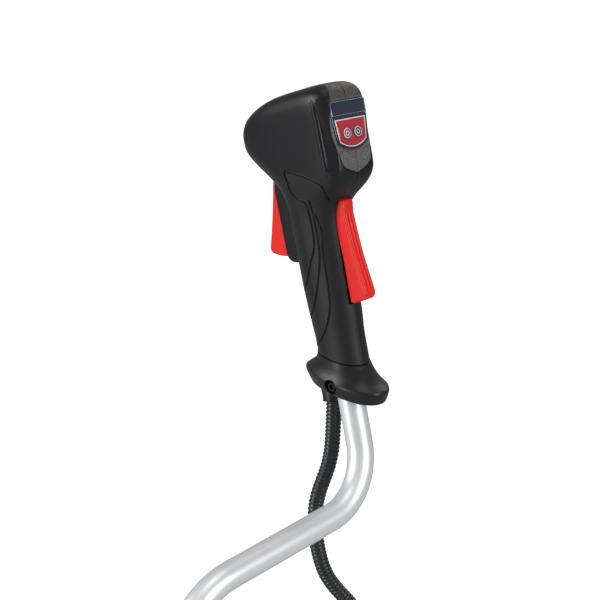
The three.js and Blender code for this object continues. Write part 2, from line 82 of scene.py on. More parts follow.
# ---- the handle's frame -------------------------------------------------------------
TRIGGER_PIN = (-30.0, 257.0)  # (p, w) of the trigger's pin
LEVER_PIN = (25.5, 247.0)
PIN_BORE = 2.4  # radius of the bores that turn on the two pins
TUBE_BORE = 11.5  # radius of the bores round the handlebar tube
SLOPE = math.tan(math.radians(20))  # rear of the collar is lower


@dataclass(frozen=True)
class HandleFrame:
    """Directions and origin of the handle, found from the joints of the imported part."""

    rear: Vector
    across: Vector
    up: Vector
    origin: Vector

    @classmethod
    def found(cls, joints: list[dict]) -> "HandleFrame":
        """Works the frame out from the plunger's axis and the trigger's pivot.

        Args:
            joints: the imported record's joints.

        Returns:
            The handle's frame, in metres.
        """
        by_name = {joint["name"]: joint for joint in joints}
        rear = Vector(by_name["plunger_slide"]["axis"]).normalized()
        across = Vector((0, 1, 0))
        up = rear.cross(across)
        pin = Vector(by_name["trigger_pivot"]["pos_m"])
        origin = pin - rear * TRIGGER_PIN[0] * MM - up * TRIGGER_PIN[1] * MM
        return cls(rear, across, up, origin)

    def matrix(self) -> Matrix:
        """Turns millimetres of the handle's frame into metres of the part's frame."""
        turn = Matrix((self.rear, self.across, self.up)).transposed().to_4x4()
        return Matrix.Translation(self.origin) @ turn @ Matrix.Scale(MM, 4)


# ---- shader maths -------------------------------------------------------------------
class Wire:
    """A shader value that adds Math nodes when it is used in an expression."""

    def __init__(self, shade: "Shade", socket: bpy.types.NodeSocket) -> None:
        """Wraps one output socket of a material's node tree."""
        self.shade = shade
        self.socket = socket

    def _maths(self, operation: str, *values: object) -> "Wire":
        """Adds one Math node and returns its output."""
        sockets = dict(enumerate(values))
        return self.shade.node("ShaderNodeMath", {"operation": operation}, sockets)

    def __add__(self, other: object) -> "Wire":
        """The sum."""
        return self._maths("ADD", self, other)

    def __radd__(self, other: object) -> "Wire":
        """The sum, reflected."""
        return self._maths("ADD", other, self)

    def __sub__(self, other: object) -> "Wire":
        """The difference."""
        return self._maths("SUBTRACT", self, other)

    def __rsub__(self, other: object) -> "Wire":
        """The difference, reflected."""
        return self._maths("SUBTRACT", other, self)

    def __mul__(self, other: object) -> "Wire":
        """The product."""
        return self._maths("MULTIPLY", self, other)

    def __rmul__(self, other: object) -> "Wire":
        """The product, reflected."""
        return self._maths("MULTIPLY", other, self)

    def __abs__(self) -> "Wire":
        """The size without its sign."""
        return self._maths("ABSOLUTE", self)

    def positive(self) -> "Wire":
        """The value, or nothing where it is negative."""
        return self._maths("MAXIMUM", self, 0.0)

    def clamped(self) -> "Wire":
        """The value kept between 0 and 1."""
        return self._maths("MINIMUM", self.positive(), 1.0)


class Shade:
    """A material under construction, with one Principled shader."""

    def __init__(self, name: str) -> None:
        """Starts an empty material with its output and its shader."""
        self.material = bpy.data.materials.new(name)
        self.material.use_nodes = True
        self.tree = self.material.node_tree
        self.tree.nodes.clear()
        self.shader = self.tree.nodes.new("ShaderNodeBsdfPrincipled")
        output = self.tree.nodes.new("ShaderNodeOutputMaterial")
        self.tree.links.new(self.shader.outputs[0], output.inputs[0])
        self.place = self.node("ShaderNodeTexCoord", {}, {}, "Object")

    def node(self, kind: str, settings: dict, sockets: dict, output: object = 0) -> Wire:
        """Adds a node.

        Args:
            kind: the node's type.
            settings: attributes, set before the sockets.
            sockets: values or wires by input name or number.
            output: name or number of the output that is wanted.

        Returns:
            That output.
        """
        made = self.tree.nodes.new(kind)
        for key, value in settings.items():
            setattr(made, key, value)
        for key, value in sockets.items():
            if isinstance(value, Wire):
                self.tree.links.new(value.socket, made.inputs[key])
            else:
                made.inputs[key].default_value = value
        return Wire(self, made.outputs[output])

    def set(self, **values: object) -> None:
        """Sets sockets of the shader; an underscore stands for a space."""
        for key, value in values.items():
            socket = self.shader.inputs[key.replace("_", " ")]
            if isinstance(value, Wire):
                self.tree.links.new(value.socket, socket)
            else:
                socket.default_value = value

    def noise(self, per_mm: float, detail: float = 2.0) -> Wire:
        """Noise between 0 and 1 with about per_mm lumps in a millimetre."""
        sockets = {"Vector": self.place, "Scale": per_mm / MM, "Detail": detail}
        return self.node("ShaderNodeTexNoise", {}, sockets)

    def along(self, direction: Vector, origin: Vector) -> Wire:
        """Distance along a direction from an origin, in millimetres."""
        settings = {"operation": "DOT_PRODUCT"}
        sockets = {0: self.place, 1: direction / MM}
        dot = self.node("ShaderNodeVectorMath", settings, sockets, "Value")
        return dot - origin.dot(direction) / MM

    def mix(self, share: Wire, low: "tuple | Wire", high: "tuple | Wire") -> Wire:
        """Blends two colours."""
        settings = {"data_type": "RGBA"}
        ends = [end if isinstance(end, Wire) else (*end, 1.0) for end in (low, high)]
        sockets = {0: share, 6: ends[0], 7: ends[1]}
        return self.node("ShaderNodeMix", settings, sockets, 2)

    def bump(self, height: Wire, depth_mm: float) -> None:
        """Feeds a height between 0 and 1 to the shader's normal."""
        sockets = {"Height": height, "Distance": depth_mm * MM, "Strength": 1.0}
        self.set(Normal=self.node("ShaderNodeBump", {}, sockets))


# ---- finishes -----------------------------------------------------------------------
@dataclass(frozen=True)
class MouldedPlastic:
    """A moulded plastic with a fine texture and slightly uneven gloss."""

    name: str
    colour: tuple[float, float, float]
    roughness: float = 0.42
    texture_depth: float = 0.02
    texture_per_mm: float = 2.2
    shine: float = 0.5

    def made(self) -> bpy.types.Material:
        """Builds the material."""
        shade = Shade(self.name)
        fine = shade.noise(self.texture_per_mm, 3)
        broad = shade.noise(0.03)
        lighter = tuple(min(1.0, 1.22 * c + 0.002) for c in self.colour)
        shade.set(Base_Color=shade.mix(broad * 0.6 + fine * 0.4, self.colour, lighter))
        shade.set(Roughness=fine * 0.1 + broad * 0.08 + (self.roughness - 0.09))
        shade.set(Specular_IOR_Level=self.shine)
        shade.bump(fine, self.texture_depth)
        return shade.material


@dataclass(frozen=True)
class GripPlastic:
    """The shells' black plastic: satin sides, grained rear strip with painted shade towards its top, soft
    grip inlay.
    """

    place: HandleFrame
    black: tuple[float, float, float] = (0.0075, 0.0078, 0.0092)
    soft_black: tuple[float, float, float] = (0.011, 0.0112, 0.0125)
    strip_colour: tuple[float, float, float] = (0.15, 0.132, 0.13)
    strip_from_p: float = 40.0
    # height above which painted shade darkens the grained strip
    painted_shade_from_w: float = 319.0
    inlay_from_p: float = -2.5
    inlay_top_w: float = 270.0
    inlay_fall: float = 0.3
    relief_mm: float = 0.42

    def made(self) -> bpy.types.Material:
        """Builds the material."""
        shade = Shade("grip_plastic")
        p = shade.along(self.place.rear, self.place.origin)
        w = shade.along(self.place.up, self.place.origin)
        y = abs(shade.along(self.place.across, self.place.origin))
        off, low = w - STRIP_MIDDLE, (STRIP_LOW - w).positive()
        edge = (STRIP_HALF - off * off * STRIP_CURVE - low * low * STRIP_CLOSING - y) * 2.5
        strip = edge.clamped() * ((p - self.strip_from_p) * 0.8).clamped()
        below = self.inlay_top_w - p * self.inlay_fall - w
        soft = ((p - self.inlay_from_p) * 2.0).clamped() * (below * 2.0).clamped()
        fine = shade.noise(2.0, 3)
        grain = shade.node(
            "ShaderNodeTexVoronoi",
            {"feature": "SMOOTH_F1"},
            {"Vector": shade.place, "Scale": 0.95 / MM, "Smoothness": 0.6},
            "Distance",
        )
        lumps = shade.noise(0.7, 5)
        cell = (grain * 0.7 + lumps * 0.6).clamped()
        side = shade.mix(soft, self.black, self.soft_black)
        pits = tuple(0.22 * c for c in self.strip_colour)
        strip_tone = shade.mix(cell, pits, self.strip_colour)
        specks = ((shade.noise(1.5, 1) - 0.6) * 12.0).clamped()
        strip_tone = shade.mix(specks, strip_tone, tuple(2.1 * c for c in self.strip_colour))
        # painted shade: the strip turns darker towards its top
        strip_tone = shade.mix(((w - self.painted_shade_from_w) * 0.5).clamped() * 0.6, strip_tone, pits)
        shade.set(Base_Color=shade.mix(strip, side, strip_tone), Specular_IOR_Level=0.3)
        shade.set(Roughness=0.33 + fine * 0.09 + soft * 0.14 + strip * 0.16)
        relief = fine * (0.04 + soft * 0.1) + strip * (cell * 0.95 + specks * 0.4)
        shade.bump(relief, self.relief_mm)
        return shade.material


@dataclass(frozen=True)
class AnodisedTube:
    """Satin aluminium with a fine grain."""

    colour: tuple[float, float, float] = (0.86, 0.875, 0.89)

    def made(self) -> bpy.types.Material:
        """Builds the material."""
        shade = Shade("anodised_tube")
        grain = shade.noise(1.6, 4)
        broad = shade.noise(0.02)
        darker = tuple(0.84 * c for c in self.colour)
        shade.set(Base_Color=shade.mix(grain * 0.7 + broad * 0.3, darker, self.colour))
        shade.set(Metallic=0.55, Roughness=0.34 + grain * 0.14)
        shade.bump(grain, 0.014)
        return shade.material


@dataclass(frozen=True)
class PlatedSteel:
    """Zinc plated or blackened steel of the small hardware."""

    name: str
    colour: tuple[float, float, float]
    roughness: float = 0.3

    def made(self) -> bpy.types.Material:
        """Builds the material."""
        shade = Shade(self.name)
        grain = shade.noise(3.0, 3)
        darker = tuple(0.7 * c for c in self.colour)
        shade.set(Base_Color=shade.mix(grain, darker, self.colour), Metallic=1.0)
        shade.set(Roughness=grain * 0.18 + self.roughness)
        shade.bump(grain, 0.01)
        return shade.material


@dataclass(frozen=True)
class PrintedFilmWithPaintedHighlight:
    """A glossy printed film whose tone turns slowly lighter up the panel: a painted highlight."""

    name: str
    # the film's colour at its foot, then the lighter colour of the painted highlight towards the top
    low: tuple[float, float, float]
    high: tuple[float, float, float]
    place: HandleFrame
    roughness: float = 0.16
    highlight_foot_w: float = 280.0
    highlight_rise_mm: float = 40.0

    def made(self) -> bpy.types.Material:
        """Builds the material."""
        shade = Shade(self.name)
        # painted highlight: the share of the lighter colour grows up the panel
        height = (shade.along(self.place.up, self.place.origin) - self.highlight_foot_w) * (1 / self.highlight_rise_mm)
        speckle = shade.noise(1.2)
        share = (height + speckle * 0.2 - 0.1).clamped()
        shade.set(Base_Color=shade.mix(share, self.low, self.high))
        shade.set(Roughness=speckle * 0.06 + self.roughness, Coat_Weight=0.7, Coat_Roughness=0.05)
        shade.bump(shade.noise(0.5), 0.01)
        return shade.material


# ---- mesh making --------------------------------------------------------------------
def quadratic(start: Pair, pull: Pair, end: Pair, steps: int = 8) -> list[Pair]:
    """Points of a quadratic curve after its start, the end included."""
    points = []
    for i in range(1, steps + 1):
        t = i / steps
        a, b, c = (1 - t) ** 2, 2 * t * (1 - t), t * t
        points.append(tuple(a * s + b * m + c * e for s, m, e in zip(start, pull, end)))
    return points


def spline(rows: list[tuple], steps: int) -> list[tuple]:
    """Rows of numbers with smooth rows worked in between them (Catmull-Rom).

    Args:
        rows: the rows that the curve passes through.
        steps: how many steps a stretch between two rows gets.

    Returns:
        The denser list of rows.
    """
    padded = [rows[0], *rows, rows[-1]]
    made = []
    for a, b, c, d in zip(padded, padded[1:], padded[2:], padded[3:]):
        for i in range(steps):
            t = i / steps
            made.append(
                tuple(
                    0.5 * (2 * q + (r - o) * t + (2 * o - 5 * q + 4 * r - s) * t * t
                           + (3 * q - o - 3 * r + s) * t ** 3)
                    for o, q, r, s in zip(a, b, c, d)
                )
            )
    return [*made, tuple(rows[-1])]


class Form:
    """A bmesh being shaped, in millimetres."""

    def __init__(self) -> None:
        """Starts empty."""
        self.bm = bmesh.new()

    def ring(self, points: list[Vector]) -> list[bmesh.types.BMEdge]:
        """A closed ring of edges through points."""
        made = bmesh.ops.create_circle(self.bm, segments=len(points), radius=1.0)
        for vert, point in zip(made["verts"], points):
            vert.co = point
        return list({edge for vert in made["verts"] for edge in vert.link_edges})

    def skin(self, rings: list[list[Vector]]) -> "Form":
        """A closed body through rings of points, capped at both ends."""
        loops = [self.ring(points) for points in rings]
        for low, high in zip(loops, loops[1:]):
            bmesh.ops.bridge_loops(self.bm, edges=low + high)
        for loop in (loops[0], loops[-1]):
            bmesh.ops.contextual_create(self.bm, geom=loop)
        return self.outward()

    def outward(self) -> "Form":
        """Merges doubles and turns every face outwards."""
        bmesh.ops.remove_doubles(self.bm, verts=self.bm.verts[:], dist=1e-4)
        bmesh.ops.recalc_face_normals(self.bm, faces=self.bm.faces[:])
        return self

    def prism(self, outline: list[Vector], travel: Vector, bevel: float = 0, segments: int = 4) -> "Form":
        """A flat outline pushed along travel, with its two rims rounded.

        Args:
            outline: corner points in order.
            travel: how far and which way the outline is pushed.
            bevel: radius of the rims.
            segments: steps of the rounding.

        Returns:
            This form.
        """
        before = set(self.bm.faces)
        first = self.bm.faces.new([self.bm.verts.new(point) for point in outline])
        grown = bmesh.ops.extrude_face_region(self.bm, geom=[first])
        moved = [g for g in grown["geom"] if isinstance(g, bmesh.types.BMVert)]
        last = next(g for g in grown["geom"] if isinstance(g, bmesh.types.BMFace))
        bmesh.ops.translate(self.bm, verts=moved, vec=travel)
        bmesh.ops.recalc_face_normals(self.bm, faces=list(set(self.bm.faces) - before))
        if bevel:
            base = [f for f in self.bm.faces if f not in before and len(f.verts) == len(outline)]
            rims = list({edge for face in {*base, last} for edge in face.edges})
            self.round_edges(rims, bevel, segments)
        return self

    def round_edges(self, edges: list, radius: float, segments: int) -> "Form":
        """Rounds edges."""
        bmesh.ops.bevel(
            self.bm, geom=edges, offset=radius, segments=segments, profile=0.5,
            affect="EDGES", material=-1, clamp_overlap=True,
        )
        return self

    def turned(self, profile: list[Pair], centre: Vector, axis: Vector, steps: int = 40) -> "Form":
        """A profile of (radius, distance along the axis) spun all the way round."""
        side = axis.orthogonal().normalized()
        verts = [self.bm.verts.new(centre + side * r + axis * a) for r, a in profile]
        edges = [self.bm.edges.new(pair) for pair in zip(verts, verts[1:])]
        bmesh.ops.spin(
            self.bm, geom=verts + edges, cent=centre, axis=axis, angle=TURN,
            steps=steps, use_merge=True, use_duplicate=False,
        )
        return self.outward()

    def sweep(self, path: list[Vector], radius: float, sides: int = 12) -> "Form":
        """A round bar along a path, its section kept upright to the path."""
        rings = []
        side = (path[1] - path[0]).orthogonal().normalized()
        for i, point in enumerate(path):
            ahead = (path[min(i + 1, len(path) - 1)] - path[max(i - 1, 0)]).normalized()
            side = (side - ahead * side.dot(ahead)).normalized()
            other = ahead.cross(side)
            turns = [TURN * k / sides for k in range(sides)]
            rings.append([point + (side * math.cos(t) + other * math.sin(t)) * radius for t in turns])
        return self.skin(rings)

    def piece(self, name: str, place: Matrix, *finishes: bpy.types.Material) -> bpy.types.Object:
        """Ends the shaping and makes the object, its place in its mesh."""
        self.bm.transform(place)
        mesh = bpy.data.meshes.new(name)
        self.bm.to_mesh(mesh)
        self.bm.free()
        for finish in finishes:
            mesh.materials.append(finish)
        made = bpy.data.objects.new(name, mesh)
        bpy.context.scene.collection.objects.link(made)
        return made


def settle(piece: bpy.types.Object) -> bpy.types.Object:
    """Applies the modifiers of a piece."""
    graph = bpy.context.evaluated_depsgraph_get()
    mesh = bpy.data.meshes.new_from_object(piece.evaluated_get(graph))
    piece.modifiers.clear()
    piece.data = mesh
    return piece


def combine(piece: bpy.types.Object, how: Cut, *tools: bpy.types.Object) -> bpy.types.Object:
    """Cuts tools away from a piece, joins them to it or keeps what they share.

    Args:
        piece: the piece that changes.
        how: the kind of cut.
        tools: objects that are used up.

    Returns:
        The piece.
    """
    for tool in tools:
        modifier = piece.modifiers.new("cut", "BOOLEAN")
        modifier.operation = how.value
        modifier.solver = "MANIFOLD"
        modifier.object = tool
    settle(piece)
    for tool in tools:
        bpy.data.objects.remove(tool)
    return piece


def smooth(piece: bpy.types.Object, sharp_degrees: float = 32) -> bpy.types.Object:
    """Shades a piece smooth, apart from its real edges."""
    piece.data.shade_smooth()
    piece.data.set_sharp_from_angle(angle=math.radians(sharp_degrees))
    return piece


# ---- outline of the handle ----------------------------------------------------------
STRIP_HALF = 20.0  # half width of the grained rear strip at its widest
STRIP_MIDDLE = 298.0  # height of its widest place
STRIP_CURVE = 0.0055
STRIP_LOW = 271.0  # below this the strip closes to its rounded lower end
STRIP_CLOSING = 0.16
STRIP_ENDS = (262.1, 323.0)

BODY_STATIONS = [  # w, front, rear, half width, roundness of front and rear, lift to the rear
    (100, -22, 22, 17, 2.1, 2.1, 0),
    (118, -22, 22, 17, 2.1, 2.1, 0),
    (135, -22, 22, 17, 2.1, 2.1, 0),
    (150, -23.2, 23, 17.8, 2.1, 2.1, 0),
    (172, -25, 24, 18.3, 2.1, 2.1, 0),
    (200, -25.4, 24.3, 18.8, 2.1, 2.1, 0),
    (226, -25.4, 25.5, 19.2, 2.2, 2.3, 0),
    (236, -25.2, 28, 19.8, 2.2, 2.6, 0),
    (243, -25.2, 33, 20.8, 2.2, 3, 0),
    (250, -25.8, 42.5, 22.2, 2.2, 3.8, 0),
    (256, -27.4, 48.2, 23.6, 2.2, 5, 0),
    (262, -30.6, 51, 24.8, 2.3, 6, 0),
    (270, -38, 52.2, 25.8, 2.5, 7, 0),
    (280, -48.5, 52.4, 26, 2.8, 7, 0),
    (291, -57, 52.4, 26, 3.1, 7, 0),
    (303, -58.2, 52.4, 26, 3.2, 7, 0),
    (312, -55, 52.4, 26, 3.1, 7, 0.02),
    (319, -49, 52, 25.6, 3, 6, 0.045),
    (324.5, -40, 50.3, 24.2, 2.8, 5, 0.065),
    (328, -30, 47, 21.8, 2.6, 4, 0.075),
    (330, -20, 42, 18, 2.5, 3.4, 0.08),
]
CAVITY_STATIONS = [
    (192, -20, 19, 14.5, 2.2, 2.2, 0),
    (226, -21.5, 20, 16, 2.2, 2.2, 0),
    (243, -21.5, 27, 17.6, 2.2, 2.8, 0),
    (256, -23.6, 42, 20.4, 2.2, 4, 0),
    (264, -28.5, 47.6, 21.8, 2.3, 6, 0),
    (272, -36, 49, 22.8, 2.5, 6, 0),
    (281, -45, 49.4, 23.2, 2.8, 7, 0),
    (291, -53.4, 49.4, 23.2, 3, 7, 0),
    (303, -54.8, 49.4, 23.2, 3.2, 7, 0),
    (312, -51.4, 49.4, 23.2, 3.1, 7, 0.02),
    (321, -40, 47, 21, 2.9, 5, 0.05),
    (325.6, -26, 41, 16, 2.7, 4, 0.07),
]
COLLAR_STATIONS = [
    (88.6, -33.5, 31.5, 18.5, 2.2, 2.2),
    (90.2, -35.5, 33, 20, 2.2, 2.2),
    (97.5, -38, 36.6, 22, 2.2, 2.2),
    (100.4, -38.2, 37, 22.2, 2.2, 2.2),
    (101.6, -37.2, 35.8, 21.6, 2.2, 2.2),
    (105, -32.8, 31.2, 20, 2.2, 2.1),
    (109.5, -27, 27, 18.6, 2.1, 2.1),
    (114, -23.6, 24.2, 17.8, 2.1, 2.1),
    (117.4, -22.6, 22.8, 17.4, 2.1, 2.1),
]


def section(station: tuple, around: int, slope: float = 0.0) -> list[Vector]:
    """One rounded section of a loft.

    Args:
        station: w, front, rear, half width, roundness of front and rear.
        around: number of points.
        slope: fall of the section plane towards the rear.

    Returns:
        Points of the ring.
    """
    w, front, rear, half, front_power, rear_power, *lift = station
    slope -= sum(lift)
    points = []
    for i in range(around):
        c, s = math.cos(TURN * i / around), math.sin(TURN * i / around)
        power = 2 / (front_power if c < 0 else rear_power)
        p = (front if c < 0 else rear) * abs(c) ** power
        y = half * math.copysign(abs(s) ** power, s)
        points.append(Vector((p, y, w - slope * p)))
    return points


def lofted(stations: list[tuple], around: int, steps: int, slope: float = 0.0) -> Form:
    """A closed body through rounded sections."""
    return Form().skin([section(row, around, slope) for row in spline(stations, steps)])


def surface_y(p: float, w: float) -> float:
    """Half width of the handle's outside at (p, w)."""
    rows = spline(BODY_STATIONS, 8)
    row = min(rows, key=lambda station: abs(station[0] + station[6] * p - w))
    _, front, rear, half, front_power, rear_power, _ = row
    power = front_power if p < 0 else rear_power
    share = min(1.0, abs(p / (front if p < 0 else rear)))
    return half * (1 - share ** power) ** (1 / power)


def surface_p(y: float, w: float) -> float:
    """How far back the handle's outside is at (y, w)."""
    rows = spline(BODY_STATIONS, 8)
    row = min(rows, key=lambda station: abs(station[0] + station[6] * station[2] - w))
    _, _, rear, half, _, power, _ = row
    return rear * (1 - min(1.0, abs(y / half)) ** power) ** (1 / power)


def boxed(low: Pair, across: Pair, high: Pair) -> Form:
    """A block between two values of p, y and w each."""
    outline = [
        Vector((low[0], across[0], high[0])),
        Vector((low[1], across[0], high[0])),
        Vector((low[1], across[0], high[1])),
        Vector((low[0], across[0], high[1])),
    ]
    return Form().prism(outline, Vector((0, across[1] - across[0], 0)))


def rod(radius: float, centre: Vector, axis: Vector, ends: Pair, steps: int = 40) -> Form:
    """A plain round bar along an axis."""
    profile = [(0, ends[0]), (radius, ends[0]), (radius, ends[1]), (0, ends[1])]
    return Form().turned(profile, centre, axis, steps)


ACROSS = Vector((0, 1, 0))
REARWARDS = Vector((1, 0, 0))
UPWARDS = Vector((0, 0, 1))


@dataclass
class Shop:
    """What every sub-assembly needs: the handle's place and the finishes."""

    place: HandleFrame
    matrix: Matrix
    finish: dict[str, bpy.types.Material]

    def tool(self, form: Form) -> bpy.types.Object:
        """A form of the handle's frame as a cutting tool."""
        return form.piece("tool", self.matrix)

    def keep(self, piece: bpy.types.Object, body: str, slot: str, *nodes: str) -> None:
        """Makes a piece ride on its body in place of its CAD nodes.

        Args:
            piece: the finished piece.
            body: the CAD body that it moves with.
            slot: the record's material slot; not used.
            nodes: the CAD nodes that it stands for.
        """
        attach(piece, body)
        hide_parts(*nodes)
        LOG.info("%s on %s: %d faces", piece.name, body, len(getattr(piece.data, "polygons", [])))


# ---- handlebar ----------------------------------------------------------------------
@dataclass
class Handlebar:
    """The bent aluminium tube, from its clamp end up into the grip."""

    shop: Shop
    radius: float = 11.0
    wall: float = 2.0
    clamp_length: float = 55.0
    lower_radius: float = 65.0
    upper_radius: float = 50.0
    reach: float = 213.0
    rise: float = math.radians(6)
    top: float = 185.0
    around: int = 72
    straight_steps: int = 12
    bend_steps: int = 28

    def build(self) -> None:
        """Extrudes and spins the tube along its route, then gives it its wall."""
        up = UPWARDS
        reach_way = Vector((0, math.cos(self.rise), math.sin(self.rise)))
        handle_way = self.shop.place.up
        form = Form()
        loop = form.ring(
            [
                Vector((math.cos(t), math.sin(t), 0)) * self.radius
                for t in (TURN * i / self.around for i in range(self.around))
            ]
        )
        lower_setback = self.lower_radius * math.tan(up.angle(reach_way) / 2)
        upper_setback = self.upper_radius * math.tan(reach_way.angle(handle_way) / 2)
        here = Vector((0, 0, self.clamp_length))
        loop = self._straight(form, loop, here)
        loop = self._bend(form, loop, here, up, reach_way, self.lower_radius)
        travel = reach_way * (self.reach - lower_setback - upper_setback)
        here += (up + reach_way) * lower_setback + travel
        loop = self._straight(form, loop, travel)
        loop = self._bend(form, loop, here, reach_way, handle_way, self.upper_radius)
        self._straight(form, loop, handle_way * (self.top - upper_setback))
        form.outward()
        tube = form.piece("handlebar_tube", Matrix.Scale(MM, 4), self.shop.finish["tube"])
        wall = tube.modifiers.new("wall", "SOLIDIFY")
        wall.thickness = self.wall * MM
        wall.offset = -1
        rims = tube.modifiers.new("rims", "BEVEL")
        rims.width = 0.4 * MM
        rims.segments = 3
        rims.limit_method = "ANGLE"
        rims.angle_limit = math.radians(60)
        self.shop.keep(smooth(settle(tube)), "handle", "aluminium", "bar_tube")

    def _straight(self, form: Form, loop: list, travel: Vector) -> list:
        """Pushes the open end along a straight stretch and returns the new end."""
        for _ in range(self.straight_steps):
            grown = bmesh.ops.extrude_edge_only(form.bm, edges=loop)["geom"]
            verts = [g for g in grown if isinstance(g, bmesh.types.BMVert)]
            loop = [g for g in grown if isinstance(g, bmesh.types.BMEdge)]
            loop = [edge for edge in loop if all(vert in verts for vert in edge.verts)]
            bmesh.ops.translate(form.bm, verts=verts, vec=travel / self.straight_steps)
        return loop

    def _bend(
        self, form: Form, loop: list, start: Vector, before: Vector, after: Vector, radius: float
    ) -> list:
        """Spins the open end through a bend and returns the new end."""
        side = (after - before * after.dot(before)).normalized()
        spun = bmesh.ops.spin(
            form.bm, geom=loop, cent=start + side * radius, axis=before.cross(after).normalized(),
            angle=before.angle(after), steps=self.bend_steps, use_merge=False, use_duplicate=False,
        )
        return [g for g in spun["geom_last"] if isinstance(g, bmesh.types.BMEdge)]


# ---- collar -------------------------------------------------------------------------
@dataclass
class Collar:
    """The bell-shaped collar under the grip, with its cross bolt and conduit spout."""

    shop: Shop
    bolt_w: float = 96.0
    conduit_p: float = -20.5
    spout_low: float = 81.0
    spout_radius: float = 9.2

    def build(self) -> None:
        """Builds the collar, its bolt and its nut."""
        self._trim()
        self._bolt()
        self._nut()

    def _trim(self) -> None:
        """The collar's body with its pockets and bores."""
        trim = lofted(COLLAR_STATIONS, 112, 4, SLOPE).piece(
            "collar_trim", self.shop.matrix, self.shop.finish["collar"]
        )
        centre = Vector((0, 0, self.bolt_w))
        front = Vector((self.conduit_p, 0, 0))
        wide, low = self.spout_radius, self.spout_low
        rim = [
            (0, 104), (wide, 104), (wide - 0.5, low + 3), (wide - 0.1, low + 2),
            (wide - 0.1, low + 0.6), (wide - 0.6, low), (0, low),
        ]
        spout = Form().turned(rim, front, UPWARDS, 48)
        pocket = [(0, -15.2), (6, -15.2), (6, -19.6), (6.7, -22), (6.7, -40), (0, -40)]
        tools = [
            rod(TUBE_BORE, Vector(), UPWARDS, (60, 140), 64),
            rod(7.7, front, UPWARDS, (70, 91.5), 40),
            boxed((-23.6, -9), (-3.8, 3.8), (90, 140)),
            Form().turned(pocket, centre, ACROSS, 48),
            rod(5.6, centre, ACROSS, (15.2, 40), 6),
            rod(2.7, centre, ACROSS, (-30, 30), 24),
        ]
        combine(trim, Cut.JOIN, self.shop.tool(spout))
        combine(trim, Cut.AWAY, *[self.shop.tool(form) for form in tools])
        self.shop.keep(smooth(trim), "handle", "black_plastic", "collar")

    def _bolt(self) -> None:
        """The socket-head cross bolt, deep in its pocket."""
        profile = [
            (0, -20.0), (3.7, -20.0), (4.1, -19.6), (4.2, -19.2), (4.2, -15.5),
            (2.4, -15.5), (2.4, 21.0), (2.0, 21.4), (0, 21.4),
        ]
        centre = Vector((0, 0, self.bolt_w))
        bolt = Form().turned(profile, centre, ACROSS, 48).piece(
            "collar_bolt", self.shop.matrix, self.shop.finish["black_steel"]
        )
        combine(bolt, Cut.AWAY, self.shop.tool(rod(2.3, centre, ACROSS, (-24, -17.4), 6)))
        self.shop.keep(smooth(bolt), "handle", "steel", "clamp_bolt")

    def _nut(self) -> None:
        """The hexagon nut in its pocket on the other side."""
        centre = Vector((0, 0, self.bolt_w))
        form = rod(4.9, centre, ACROSS, (15.5, 19.5), 6)
        form.round_edges([e for e in form.bm.edges if e.is_manifold], 0.35, 2)
        nut = form.piece("collar_nut", self.shop.matrix, self.shop.finish["steel"])
        combine(nut, Cut.AWAY, self.shop.tool(rod(2.7, centre, ACROSS, (10, 24), 24)))
        self.shop.keep(smooth(nut), "handle", "steel", "clamp_nut")


